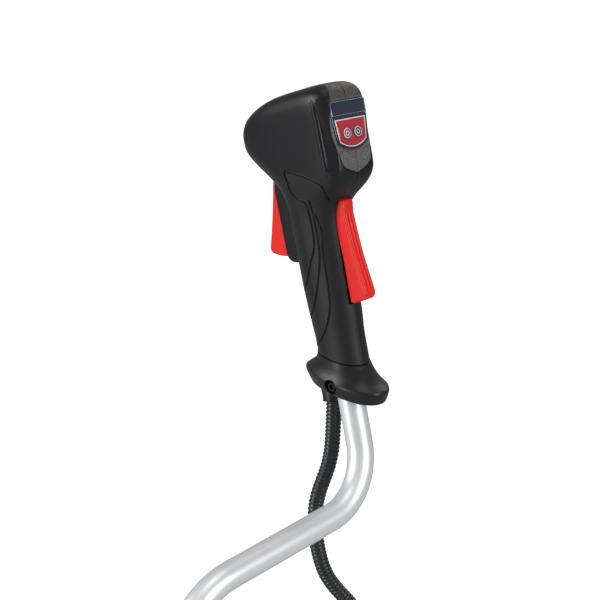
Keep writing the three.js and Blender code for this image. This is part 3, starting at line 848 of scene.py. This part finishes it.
# ---- grip shells --------------------------------------------------------------------
@dataclass
class GripShells:
    """The two halves of the grip and head, parted along the middle."""

    shop: Shop
    seam_w: float = 118.0
    seam_gap: float = 0.6
    parting: float = 0.22
    ridge: float = 3.0
    edge_groove: float = 0.45
    edge_points: int = 64
    dish_radius: float = 95.0
    dish_depth: float = 1.1
    groove: float = 1.15
    screws: tuple = (
        (-44, 297, -13, 19), (22, 318, -13, 19), (36, 262, -13, 19), (-2, 207, -11, 13.5), (15.5, 140, -8, 6),
    )

    def build(self) -> None:
        """Builds the whole outside once, cuts it and parts it into halves."""
        crown = [
            (330.8, -14, 36, 14, 2.4, 3.0, 0.08),
            (331.3, -6, 27, 9, 2.3, 2.6, 0.08),
        ]
        whole = lofted([*BODY_STATIONS, *crown], 144, 3).piece(
            "grip_whole", self.shop.matrix, self.shop.finish["grip"]
        )
        combine(whole, Cut.AWAY, *[self.shop.tool(self._chamfer(hand)) for hand in Hand])
        ridges = [self.shop.tool(self._ridge(hand)) for hand in Hand]
        combine(whole, Cut.JOIN, self.shop.tool(self._guard()), *ridges)
        combine(whole, Cut.AWAY, *[self.shop.tool(form) for form in self._openings()])
        combine(whole, Cut.AWAY, *[self.shop.tool(form) for form in self._grooves()])
        for hand in Hand:
            self._half(whole, hand)
        bpy.data.objects.remove(whole)

    def _chamfer(self, hand: Hand) -> Form:
        """The flat between the head's side and its rear face, as a cutting wedge."""
        corners = [(39.6, 25.9), (60.0, 13.8), (60.0, 40.0), (39.6, 40.0)]
        outline = [Vector((p, hand.value * y, 258)) for p, y in corners]
        return Form().prism(outline, Vector((0, 0, 80)))

    def _ridge(self, hand: Hand) -> Form:
        """The narrow rounded ridge where the head's side meets that flat."""
        rows = [(38.4, 322, 3.5), (39.4, 317, 2.5), (40.2, 293, 2.25), (40.2, 268, 2.5), (38.8, 261, 3.5)]
        line = spline(rows, 8)
        path = [Vector((p, hand.value * (surface_y(p, w) - sunk), w)) for p, w, sunk in line]
        return Form().sweep(path, self.ridge, 40)

    def _guard(self) -> Form:
        """The guard cheeks that stand beside the trigger."""
        outline = [(-14, 197), (-24, 197), *quadratic((-24, 197), (-33.8, 197.5), (-34.2, 206))]
        outline += [(-35.4, 258), (-33, 264), (-14, 264)]
        points = [Vector((p, -10.4, w)) for p, w in outline]
        return Form().prism(points, Vector((0, 20.8, 0)), 1.0)

    def _openings(self) -> list[Form]:
        """Everything that is open in the shells."""
        low, reach = 40.0, 60.0
        level = self.seam_w + self.seam_gap / 2
        seam = [
            Vector((-reach, -40, level + reach * SLOPE)),
            Vector((reach, -40, level - reach * SLOPE)),
            Vector((reach, -40, low)),
            Vector((-reach, -40, low)),
        ]
        forms = [
            Form().prism(seam, Vector((0, 80, 0))),
            rod(TUBE_BORE, Vector(), UPWARDS, (90, 196), 64),
            lofted(CAVITY_STATIONS, 64, 2),
            boxed((-70, -14.5), (-7.7, 7.7), (200.4, 267)),  # trigger
            boxed((12.4, 60), (-6.3, 6.3), (159.7, 243.4)),  # lever
            boxed((12.4, 31.8), (-6.4, 6.4), (240, 252)),  # the lever's knee
            boxed((51.15, 70), (-20, 20), (279.2, 319.4)),  # recess of the panel
            boxed((46, 60), (-14, 14), (307.5, 316)),  # light of the display
            boxed((-19.6, -9), (-3.6, 3.6), (96, 196)),  # channel of the wires
        ]
        for hand in Hand:
            key = Vector((0, hand.value * ControlPanel.button_y, ControlPanel.button_w))
            forms.append(rod(5.1, key, REARWARDS, (44, 54), 40))
            forms.append(self._dish(hand))
        return forms

    def _dish(self, hand: Hand) -> Form:
        """The shallow round thumb dish on the nose's side."""
        form = Form()
        middle = Vector((-31, hand.value * (26 + self.dish_radius - self.dish_depth), 297))
        bmesh.ops.create_uvsphere(
            form.bm, u_segments=96, v_segments=64, radius=self.dish_radius,
            matrix=Matrix.Translation(middle),
        )
        return form.outward()

    def _grooves(self) -> list[Form]:
        """Fine grooves: the soft inlay's outline and its flow lines, and the strip's edge."""
        frame_line = [(9.6, 243), (7.5, 246.9), (2.1, 250), (-2.3, 255.2), (-2.5, 263.4), (-2.2, 271.4)]
        frame_line += [(13.8, 267.4), (30.9, 258.5), (32.2, 251.6), (29.6, 244.4)]
        flows = [
            [(9.7, 245), (9.1, 227), (7.7, 210), (1.0, 197), (-8.1, 182), (-16, 175), (-22.5, 171)],
            [
                (14.2, 247), (12.5, 229), (11.8, 213), (10.0, 198),
                (3.8, 179), (-4, 163), (-14, 153), (-21, 148),
            ],
            [
                (14.5, 235.4), (16.0, 218), (13.7, 204), (12.9, 179),
                (10.4, 158), (2, 141), (-10, 131), (-19, 126),
            ],
        ]
        forms = []
        for hand in Hand:
            for line in [frame_line, *flows]:
                points = [
                    Vector((p, hand.value * surface_y(p, w), w)) for p, w in spline(line, 6)
                ]
                forms.append(Form().sweep(points, self.groove))
            edge = []
            for i in range(self.edge_points):
                share = i / (self.edge_points - 1)
                w = STRIP_ENDS[0] + (STRIP_ENDS[1] - STRIP_ENDS[0]) * share ** 2
                closing = max(0.0, STRIP_LOW - w) ** 2 * STRIP_CLOSING
                y = hand.value * (STRIP_HALF - (w - STRIP_MIDDLE) ** 2 * STRIP_CURVE - closing)
                edge.append(Vector((surface_p(y, w), y, w)))
            forms.append(Form().sweep(edge, self.edge_groove))
        return forms

    def _half(self, whole: bpy.types.Object, hand: Hand) -> None:
        """One half of the shells, with its screw holes."""
        name = f"grip_{hand.name.lower()}"
        half = bpy.data.objects.new(name, whole.data.copy())
        bpy.context.scene.collection.objects.link(half)
        ends = sorted((hand.value * self.parting, hand.value * 60.0))
        near = boxed((-90, 90), (ends[0], ends[1]), (60, 360))
        combine(half, Cut.KEEP, self.shop.tool(near))
        tools = []
        if hand is Hand.RIGHT:
            for p, w, _, head in self.screws:
                centre = Vector((p, 0, w))
                tools.append(rod(1.8, centre, ACROSS, (-1, head + 1), 24))
                tools.append(rod(3.6, centre, ACROSS, (head - 0.4, 40), 32))
        if tools:
            combine(half, Cut.AWAY, *[self.shop.tool(form) for form in tools])
        self.shop.keep(smooth(half, 28), "handle", "black_plastic", f"grip_shell_{hand.name.lower()}")


@dataclass
class ShellScrews:
    """The five self-tapping screws that close the shells."""

    shop: Shop
    screws: tuple = GripShells.screws
    core: float = 1.25
    thread: float = 1.5
    pitch: float = 1.2
    head: float = 3.0

    def build(self) -> None:
        """Builds each screw with a rounded head and a six-sided recess."""
        for number, (p, w, tip, head) in enumerate(self.screws, 1):
            top = head + 2.2
            profile = [(0, tip), (0.9, tip + 0.5), (self.thread, tip + 2)]
            for i in range(int((head - tip - 4) / self.pitch)):
                at = tip + 2 + i * self.pitch
                profile += [(self.core, at + 0.35), (self.thread, at + 0.6), (self.core, at + 0.85)]
            profile += [(self.thread, head), (self.head, head), (self.head, top - 0.9)]
            profile += [(self.head - 0.4, top - 0.3), (self.head - 1.2, top), (0, top)]
            centre = Vector((p, 0, w))
            name = f"shell_screw_{number}"
            screw = Form().turned(profile, centre, ACROSS, 32).piece(
                f"closing_screw_{number}", self.shop.matrix, self.shop.finish["steel"]
            )
            recess = rod(1.3, centre, ACROSS, (head + 0.9, head + 4), 6)
            combine(screw, Cut.AWAY, self.shop.tool(recess))
            self.shop.keep(smooth(screw), "handle", "steel", name)


# ---- trigger and lever --------------------------------------------------------------
@dataclass
class Trigger:
    """The red finger trigger."""

    shop: Shop
    half: float = 7.0

    def build(self) -> None:
        """Pushes the outline across, rounds it and bores it for its pin."""
        outline = [(-39.4, 264), *quadratic((-39.4, 264), (-46, 238), (-56.4, 211), 14)]
        outline += quadratic((-56.4, 211), (-57, 206.5), (-52, 205))
        outline += quadratic((-52, 205), (-44, 202.4), (-34, 202))
        outline += [(-31.4, 204), (-28.4, 247.4), (-25, 251), (-24, 256), (-20, 259), (-20, 262)]
        outline += [(-34, 265)]
        points = [Vector((p, -self.half, w)) for p, w in outline]
        form = Form().prism(points, Vector((0, 2 * self.half, 0)), 1.5, 5)
        trigger = form.piece("trigger_lever", self.shop.matrix, self.shop.finish["red"])
        pin = Vector((TRIGGER_PIN[0], 0, TRIGGER_PIN[1]))
        bore = rod(PIN_BORE, pin, ACROSS, (-10, 10), 28)
        spring_room = rod(5.0, pin, ACROSS, (3, 8), 40)
        combine(trigger, Cut.AWAY, self.shop.tool(bore), self.shop.tool(spring_room))
        self.shop.keep(smooth(trigger, 40), "trigger", "red_plastic", "trigger")


@dataclass
class LockoutLever:
    """The red lock-off lever in the rear of the grip, with its two thumb ridges."""

    shop: Shop
    half: float = 6.0
    back: tuple = ((33.6, 232), *quadratic((33.6, 232), (34.6, 214), (37, 196)))

    def build(self) -> None:
        """Builds the lever, its thin lock arm and its ridges."""
        outline = [(31, 243.4), (34.2, 241.8), (34.8, 239.6), *self.back]
        outline += [(42, 169), *quadratic((42, 169), (42.6, 164), (38, 162.4)), (28, 160.4), (24.4, 161.4)]
        outline += [(24.2, 196), (22.6, 226), (22.6, 240), (20.6, 245), (20.8, 250.8), (-8, 268.4)]
        outline += [(-17, 269), (-17, 272), (-7, 272.4), (23, 256), (26.6, 252.2), (29, 248)]
        points = [Vector((p, -self.half, w)) for p, w in outline]
        form = Form().prism(points, Vector((0, 2 * self.half, 0)), 1.2, 4)
        lever = form.piece("lock_off_lever", self.shop.matrix, self.shop.finish["red"])
        pin = Vector((LEVER_PIN[0], 0, LEVER_PIN[1]))
        tools = [
            rod(PIN_BORE, pin, ACROSS, (-10, 10), 28),
            boxed((-40, 19.6), (-20, -2), (245, 280)),
            boxed((-40, 19.6), (2, 20), (245, 280)),
            *[self._flute(y) for y in (-2.9, 0.5, 3.9)],
        ]
        combine(lever, Cut.AWAY, *[self.shop.tool(tool) for tool in tools])
        self.shop.keep(smooth(lever, 36), "lockout_lever", "red_plastic", "lockout_lever")

    def _flute(self, y: float) -> Form:
        """One lengthwise hollow; what stands between the hollows are the ridges."""
        line = [*self.back, (41.6, 171.0)]
        return Form().sweep([Vector((p + 0.55, y, w)) for p, w in line], 1.45, 20)


# ---- control panel ------------------------------------------------------------------
@dataclass
class ControlPanel:
    """The panel on the head's rear: a display band over a shield with two buttons."""

    shop: Shop
    low_p: float = 51.3
    high_p: float = 52.3
    button_w: float = 293.0
    button_y: float = 6.0

    def build(self) -> None:
        """Builds the shield plate, the display window and the buttons."""
        shield = [(-19.2, 306.2), (-16.8, 286), *quadratic((-16.8, 286), (-10, 280.4), (0, 280))]
        shield += quadratic((0, 280), (10, 280.4), (16.8, 286)) + [(19.2, 306.2)]
        # the shield's dark margin of 1.8 mm is a painted shadow round its edge
        plate = self._plate("shield_plate", shield, (1.8, 0.8), "panel", "keyline")
        for hand in Hand:
            centre = Vector((0, hand.value * self.button_y, self.button_w))
            combine(plate, Cut.AWAY, self.shop.tool(rod(4.9, centre, REARWARDS, (48, 56), 48)))
        self.shop.keep(smooth(plate, 20), "handle", "panel_film", "control_panel")
        band = [(-19.4, 306.6), (19.4, 306.6), (19.4, 317.3), (17.9, 318.8), (-17.9, 318.8), (-19.4, 317.3)]
        window = self._plate("display_pane", band, (0.5, 0.3), "window", "window_line")
        self.shop.keep(smooth(window, 20), "handle", "display_lens", "display_window")
        for hand in Hand:
            self._button(hand)

    def _plate(
        self, name: str, outline: list[Pair], borders: Pair, field_finish: str, line_finish: str
    ) -> bpy.types.Object:
        """A thin plate with a dark margin and a fine line round its coloured field; round the shield the dark
        margin is a painted shadow.

        Args:
            name: the piece's name.
            outline: corners as (y, w).
            borders: widths of the margin (round the shield, a painted shadow) and of the line.
            field_finish: finish of the field.
            line_finish: finish of the line.

        Returns:
            The plate.
        """
        form = Form()
        points = [Vector((self.low_p, y, w)) for y, w in outline]
        form.prism(points, Vector((self.high_p - self.low_p, 0, 0)), 0.2, 2)
        # the margin keeps the dark window film; round the shield it is a painted shadow
        for face in form.bm.faces:
            face.material_index = 2
        front = max(form.bm.faces, key=lambda f: (round(f.calc_center_median().x, 2), f.calc_area()))
        bmesh.ops.inset_region(form.bm, faces=[front], thickness=borders[0], use_even_offset=True)
        front.material_index = 0
        line = bmesh.ops.inset_region(form.bm, faces=[front], thickness=borders[1], use_even_offset=True)
        for face in line["faces"]:
            face.material_index = 1
        bmesh.ops.inset_region(form.bm, faces=[front], thickness=0.3, depth=0.12, use_even_offset=True)
        dressed = [self.shop.finish[key] for key in (field_finish, line_finish, "window")]
        return form.piece(name, self.shop.matrix, *dressed)

    def _button(self, hand: Hand) -> None:
        """One push button with a raised ring; its ring and field differ in tone."""
        profile = [
            (0, 53.15), (1.2, 53.15), (1.35, 53.35), (1.85, 53.35), (2.0, 53.1), (3.1, 53.05), (3.3, 53.35),
            (3.8, 53.35), (4.0, 53.0), (4.4, 52.7), (4.6, 52.3), (4.6, 46.5), (0, 46.5),
        ]
        centre = Vector((0, hand.value * self.button_y, self.button_w))
        form = Form().turned(profile, centre, REARWARDS, 64)
        for face in form.bm.faces:
            away = (face.calc_center_median() - centre).yz.length
            face.material_index = 1 if 3.2 < away < 3.95 or 1.25 < away < 1.95 else 0
        word = hand.name.lower()
        field_finish = "button_pale" if hand is Hand.LEFT else "button_dark"
        finish = self.shop.finish
        button = form.piece(f"push_button_{word}", self.shop.matrix, finish[field_finish], finish["keyline"])
        self.shop.keep(smooth(button), f"button_{word}", "button_grey", f"button_{word}")


# ---- conduit ------------------------------------------------------------------------
@dataclass
class Conduit:
    """The corrugated conduit: it hangs from the spout, is coiled once out of use and ends in a plug."""

    shop: Shop
    radius: float = 6.6
    pitch: float = 3.4
    coil_radius: float = 72.0
    coil_turns: int = 2
    coil_pitch: float = 13.6
    coil_entry: Pair = (28.0, -76.0)
    tail: float = 60.0
    steps_per_turn: int = 72
    tail_steps: int = 10
    hanging: tuple = (  # (distance along the hanging plane, z)
        (0, 212), (0, 200), (-0.4, 188), (-0.9, 175), (-2.1, 162), (-4.8, 149), (-8.4, 138), (-11.8, 127.5),
        (-14.2, 116), (-15, 105), (-14.8, 92), (-13.2, 78.5), (-10.4, 65), (-6.4, 53), (-1, 43.4), (5.4, 35),
        (12.4, 26.8), (18.8, 17.6), (23.8, 6.4), (26.6, -6.5), (27.8, -22), (28, -40), (28, -58),
    )

    def __post_init__(self) -> None:
        """Finds the exit in the spout and the hanging plane."""
        self.exit = self.shop.matrix @ Vector((-20.5, 0, 81.0)) / MM
        self.plane = Vector((1, 1, 0)).normalized()
        self.normal = Vector((1, -1, 0)).normalized()

    def point(self, a: float, z: float, aside: float = 0.0) -> Vector:
        """A point of the route from its place in the hanging plane."""
        level = Vector((self.exit.x, self.exit.y, z))
        return level + self.plane * a + self.normal * aside

    def route(self) -> list[Vector]:
        """The centreline: the hanging stretch, the turns of the coil and the tail."""
        points = spline([*self.hanging, self.coil_entry], 6)
        line = [self.point(a, z) for a, z in points]
        centre_a = self.coil_entry[0] - self.coil_radius
        per_turn = self.steps_per_turn
        for i in range(1, self.coil_turns * per_turn + 1):
            angle = TURN * i / per_turn
            a = centre_a + self.coil_radius * math.cos(angle)
            z = self.coil_entry[1] - self.coil_radius * math.sin(angle)
            line.append(self.point(a, z, -self.coil_pitch * i / per_turn))
        aside = -self.coil_pitch * self.coil_turns
        for i in range(1, self.tail_steps + 1):
            z = self.coil_entry[1] - self.tail * i / self.tail_steps
            line.append(self.point(self.coil_entry[0], z, aside))
        return line

    def _spaced(self, line: list[Vector], step: float) -> list[Vector]:
        """Points of a line at equal steps along it."""
        made, carried = [line[0]], 0.0
        for a, b in zip(line, line[1:]):
            length = (b - a).length
            at = step - carried
            while at <= length:
                made.append(a.lerp(b, at / length))
                at += step
            carried = (carried + length) % step
        return made

    def build(self) -> bpy.types.Object:
        """Builds the corrugated tube as one curve whose radius goes up and down.

        Returns:
            The conduit.
        """
        shape = (1.0, 1.0, 0.985, 0.875, 0.865, 0.965)  # crest, crest, shoulder, root, root, shoulder
        line = self._spaced(self.route(), self.pitch / len(shape))
        curve = bpy.data.curves.new("conduit_hose", "CURVE")
        curve.dimensions = "3D"
        curve.bevel_depth = self.radius * MM
        curve.bevel_resolution = 4
        curve.use_fill_caps = True
        strand = curve.splines.new("POLY")
        strand.points.add(len(line) - 1)
        for i, point in enumerate(line):
            strand.points[i].co = (*(point * MM), 1.0)
            strand.points[i].radius = shape[i % len(shape)]
        strand.use_smooth = True
        curve.materials.append(self.shop.finish["conduit"])
        hose = bpy.data.objects.new("conduit_hose", curve)
        bpy.context.scene.collection.objects.link(hose)
        self.shop.keep(hose, "handle", "conduit_plastic", "conduit", "conduit_coil", "conduit_tail")
        return hose

    def declare(self, pieces: list[bpy.types.Object]) -> None:
        line = self.route()
        length = sum((b - a).length for a, b in zip(line, line[1:])) * MM
        LOG.info("conduit length %.3f m", length)
        self.exit * MM
        2 * self.radius * MM


@dataclass
class CordEnd:
    """What is on the conduit: the tie round its coil, and the boot and plug at its end."""

    shop: Shop
    conduit: Conduit

    def build(self) -> list[bpy.types.Object]:
        """Builds the tie, the boot and the plug and returns them."""
        return [self._tie(), self._boot(), self._plug()]

    def _frame(self) -> Matrix:
        """The plug's own frame: x and y across it, z up, at the end of the tail."""
        c = self.conduit
        end = c.point(c.coil_entry[0], c.coil_entry[1] - c.tail, -c.coil_pitch * c.coil_turns)
        turn = Matrix.Rotation(math.radians(45), 4, "Z")
        return Matrix.Scale(MM, 4) @ Matrix.Translation(end) @ turn

    def _oval(self, width: float, depth: float, z: float, power: float = 5.0) -> list[Vector]:
        """A rounded rectangle at a height."""
        row = (z, -width / 2, width / 2, depth / 2, power, power)
        return section(row, 64)

    def _boot(self) -> bpy.types.Object:
        """The ribbed rubber boot over the conduit's end."""
        rings = []
        for i in range(5):
            z = -0.3 - i * 2.7
            wide, deep = 16.2 + 0.2 * i, 14.4 + 0.15 * i
            rings.append(self._oval(wide, deep, z, 3))
            rings.append(self._oval(wide, deep, z - 1.6, 3))
            rings.append(self._oval(wide - 1.4, deep - 1.4, z - 1.9, 3))
            rings.append(self._oval(wide - 1.4, deep - 1.4, z - 2.5, 3))
        boot = Form().skin(rings).piece("plug_boot", self._frame(), self.shop.finish["rubber"])
        self.shop.keep(smooth(boot), "handle", "dark_parts", "connector_boot")
        return boot

    def _plug(self) -> bpy.types.Object:
        """The connector: a collared body, a latch on its side and terminal cavities below."""
        sizes = [
            (22, 13.4, -14.3), (24, 15, -15.1), (25, 16, -16.5), (25, 16, -21.5), (24.2, 15.2, -22.3),
            (23, 14, -23), (23, 14, -38), (24.4, 15.4, -38.8), (24.4, 15.4, -45.2), (23.6, 14.6, -46),
        ]
        rings = [self._oval(*size) for size in sizes]
        plug = Form().skin(rings).piece("plug_body", self._frame(), self.shop.finish["dark"])
        latch = [Vector((-3.4, 6.0, z)) for z in (-24.5, -37.4)]
        latch += [Vector((3.4, 6.0, z)) for z in (-37.4, -24.5)]
        raised = Form().prism(latch, Vector((0, 2.4, 0)), 0.5, 3).piece("tool", self._frame())
        combine(plug, Cut.JOIN, raised)
        cavities = []
        for x in (-7.5, -2.5, 2.5, 7.5):
            spots = [Vector((x + dx, y, -50)) for dx, y in ((-1.4, -4), (1.4, -4), (1.4, -1), (-1.4, -1))]
            cavities.append(Form().prism(spots, Vector((0, 0, 10))).piece("tool", self._frame()))
        combine(plug, Cut.AWAY, *cavities)
        self.shop.keep(smooth(plug), "handle", "dark_parts", "connector_plug")
        return plug

    def _tie(self) -> bpy.types.Object:
        """The strap round both turns at the far side of the coil, with its lock."""
        c = self.conduit
        a, z = c.coil_entry[0] - 2 * c.coil_radius, c.coil_entry[1]
        aside = -c.coil_pitch * c.coil_turns / 2
        centre = c.point(a, z, aside)
        turn = Matrix((c.plane, UPWARDS, c.normal)).transposed().to_4x4()
        place = Matrix.Scale(MM, 4) @ Matrix.Translation(centre) @ turn
        deep, wide = c.radius + 0.9, c.coil_pitch * c.coil_turns / 2 + c.radius + 1.0
        loop = [
            Vector((deep * math.copysign(abs(math.cos(t)) ** 0.45, math.cos(t)), 0,
                    wide * math.copysign(abs(math.sin(t)) ** 0.45, math.sin(t))))
            for t in (TURN * i / 96 for i in range(96))
        ]
        form = Form()
        edges = form.ring([point - Vector((0, 2.4, 0)) for point in loop])
        grown = bmesh.ops.extrude_edge_only(form.bm, edges=edges)["geom"]
        verts = [g for g in grown if isinstance(g, bmesh.types.BMVert)]
        bmesh.ops.translate(form.bm, verts=verts, vec=Vector((0, 4.8, 0)))
        form.outward()
        tie = form.piece("coil_strap", place, self.shop.finish["dark"])
        band = tie.modifiers.new("wall", "SOLIDIFY")
        band.thickness = 1.0 * MM
        band.offset = 0
        settle(tie)
        lock = [Vector((-deep - 3.4, -3.2, k)) for k in (-4, 4)]
        lock += [Vector((-deep + 0.2, -3.2, k)) for k in (4, -4)]
        knob = Form().prism(lock, Vector((0, 6.4, 0)), 0.6, 3).piece("tool", place)
        combine(tie, Cut.JOIN, knob)
        self.shop.keep(smooth(tie), "handle", "dark_parts", "coil_tie")
        return tie


# ---- inner pieces -------------------------------------------------------------------
@dataclass
class InnerPieces:
    """CAD nodes inside the shells, which keep their shape and get their real finish."""

    shop: Shop
    nodes: dict[str, bpy.types.Object]
    looks: tuple = (
        ("trigger_pin", "steel"), ("lockout_pin", "steel"), ("trigger_spring", "steel"),
        ("lockout_spring", "steel"), ("switch_body", "dark"), ("switch_plunger", "red"),
        ("tact_switch_left", "dark"), ("tact_switch_right", "dark"), ("control_board", "board"),
        ("level_display", "diffuser"), ("inner_harness", "rubber"),
    )

    def build(self) -> None:
        """Dresses each node."""
        for node, look in self.looks:
            mesh = self.nodes[node].data
            mesh.materials.clear()
            mesh.materials.append(self.shop.finish[look])
            LOG.info("%s dressed", node)


# ---- setting ------------------------------------------------------------------------
@dataclass
class Studio:
    """Camera, lights and floor."""

    place: HandleFrame
    distance: float = 1.3
    lens: float = 95.1
    azimuth: float = math.radians(45)
    elevation: float = math.radians(17)
    floor_z: float = -0.21
    aim_mm: tuple = (-79.4, 0, 149.6)  # what the camera looks at, from the handle's origin
    lit_up: float = 0.24  # what the lamps look at, up the handle's axis
    daylight: float = 0.3
    lamps: tuple = (  # name, place from the lit point in metres, size, watts
        ("key", (-1.1, -1.7, 0.7), 0.9, 26),
        ("rear", (1.8, 0.1, 0.35), 0.7, 18),
        ("far", (-0.4, 1.5, 1.3), 1.0, 12),
        ("overhead", (0.3, -0.2, 2.2), 1.2, 10),
        ("edge", (-0.4, -1.6, -0.3), 0.35, 6),
    )

    def camera(self) -> None:
        """Makes the camera, aimed beside the handle's origin."""
        target = self.place.origin + Vector(self.aim_mm) * MM
        level = math.cos(self.elevation)
        back = Vector((
            math.sin(self.azimuth) * level, -math.cos(self.azimuth) * level, math.sin(self.elevation),
        ))
        data = bpy.data.cameras.new("camera")
        data.lens = self.lens
        data.sensor_width = 36
        data.clip_end = 50
        made = bpy.data.objects.new("camera", data)
        made.location = target + back * self.distance
        made.rotation_euler = (-back).to_track_quat("-Z", "Y").to_euler()
        bpy.context.scene.collection.objects.link(made)
        bpy.context.scene.camera = made

    def lamp(self, name: str, spot: tuple, size: float, watts: float) -> None:
        """Adds a soft square lamp that looks at the handle's head."""
        aim = self.place.origin + self.place.up * self.lit_up
        data = bpy.data.lights.new(name, "AREA")
        data.size = size
        data.energy = watts
        made = bpy.data.objects.new(name, data)
        made.location = aim + Vector(spot)
        made.rotation_euler = (aim - made.location).to_track_quat("-Z", "Y").to_euler()
        bpy.context.scene.collection.objects.link(made)

    def surroundings(self) -> None:
        """Makes the pale world, the floor and the lamps."""
        world = bpy.data.worlds.new("studio")
        bpy.context.scene.world = world
        world.use_nodes = True
        tree = world.node_tree
        tree.nodes["Background"].inputs["Color"].default_value = (1, 1, 1, 1)
        path = tree.nodes.new("ShaderNodeLightPath")
        strength = tree.nodes.new("ShaderNodeMix")
        strength.inputs[2].default_value = self.daylight
        strength.inputs[3].default_value = 1.0
        tree.links.new(path.outputs["Is Camera Ray"], strength.inputs[0])
        tree.links.new(strength.outputs[0], tree.nodes["Background"].inputs["Strength"])
        form = Form()
        bmesh.ops.create_grid(form.bm, x_segments=1, y_segments=1, size=30)
        floor = form.piece("floor", Matrix.Translation((0, 0, self.floor_z)))
        shade = Shade("floor_white")
        seen = shade.node("ShaderNodeLightPath", {}, {}, "Is Camera Ray")
        shade.set(Base_Color=(0.45, 0.45, 0.45, 1), Roughness=0.9)
        shade.set(Emission_Color=shade.mix(seen, (0.0, 0.0, 0.0), (1.0, 1.0, 1.0)), Emission_Strength=0.9)
        floor.data.materials.append(shade.material)
        for lamp in self.lamps:
            self.lamp(*lamp)
        bpy.context.scene.view_settings.view_transform = "Standard"


def finishes(place: HandleFrame) -> dict[str, bpy.types.Material]:
    """Makes every material once.

    Args:
        place: the handle's frame.

    Returns:
        The materials by their names.
    """
    red = (0.72, 0.014, 0.009)
    made = {
        "grip": GripPlastic(place).made(),
        "collar": MouldedPlastic("collar_plastic", (0.009, 0.0093, 0.0105), 0.36, shine=0.32).made(),
        "red": MouldedPlastic("red_plastic", red, 0.38, 0.015, 1.6, shine=0.35).made(),
        "tube": AnodisedTube().made(),
        "steel": PlatedSteel("zinc_steel", (0.52, 0.53, 0.54)).made(),
        "black_steel": PlatedSteel("black_steel", (0.03, 0.03, 0.033), 0.4).made(),
        "dark": MouldedPlastic("connector_plastic", (0.016, 0.017, 0.019), 0.45).made(),
        "rubber": MouldedPlastic("rubber", (0.012, 0.012, 0.013), 0.7, 0.04).made(),
        "conduit": MouldedPlastic("conduit_plastic", (0.0105, 0.013, 0.019), 0.3, 0.01).made(),
        "board": MouldedPlastic("solder_mask", (0.02, 0.12, 0.05), 0.4).made(),
        "diffuser": MouldedPlastic("diffuser", (0.7, 0.68, 0.6), 0.5).made(),
        # each film's second colour is its painted highlight towards the top
        "panel": PrintedFilmWithPaintedHighlight("shield_film", (0.36, 0.012, 0.022), (0.5, 0.018, 0.03), place).made(),
        "window": PrintedFilmWithPaintedHighlight("window_film", (0.006, 0.009, 0.022), (0.01, 0.017, 0.05), place, 0.1).made(),
        "keyline": PrintedFilmWithPaintedHighlight("keyline_print", (0.62, 0.63, 0.66), (0.74, 0.75, 0.78), place, 0.25).made(),
        "window_line": PrintedFilmWithPaintedHighlight("window_line", (0.2, 0.21, 0.24), (0.3, 0.31, 0.35), place, 0.25).made(),
        "button_pale": MouldedPlastic("button_pale", (0.2, 0.05, 0.06), 0.35, 0.01).made(),
        "button_dark": MouldedPlastic("button_dark", (0.03, 0.035, 0.06), 0.3, 0.01).made(),
    }
    return made


def main() -> None:
    """Builds the handle and its setting, in order."""
    logging.basicConfig(level=logging.INFO, format="%(name)s: %(message)s")
    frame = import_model()
    place = HandleFrame.found(frame["joints"])
    studio = Studio(place)
    studio.camera()
    shop = Shop(place, place.matrix(), finishes(place))
    conduit = Conduit(shop)
    hose = conduit.build()
    conduit.declare(CordEnd(shop, conduit).build())
    Handlebar(shop).build()
    Collar(shop).build()
    GripShells(shop).build()
    ShellScrews(shop).build()
    Trigger(shop).build()
    LockoutLever(shop).build()
    ControlPanel(shop).build()
    InnerPieces(shop, frame["nodes"]).build()
    studio.surroundings()


if __name__ == "__main__":
    main()
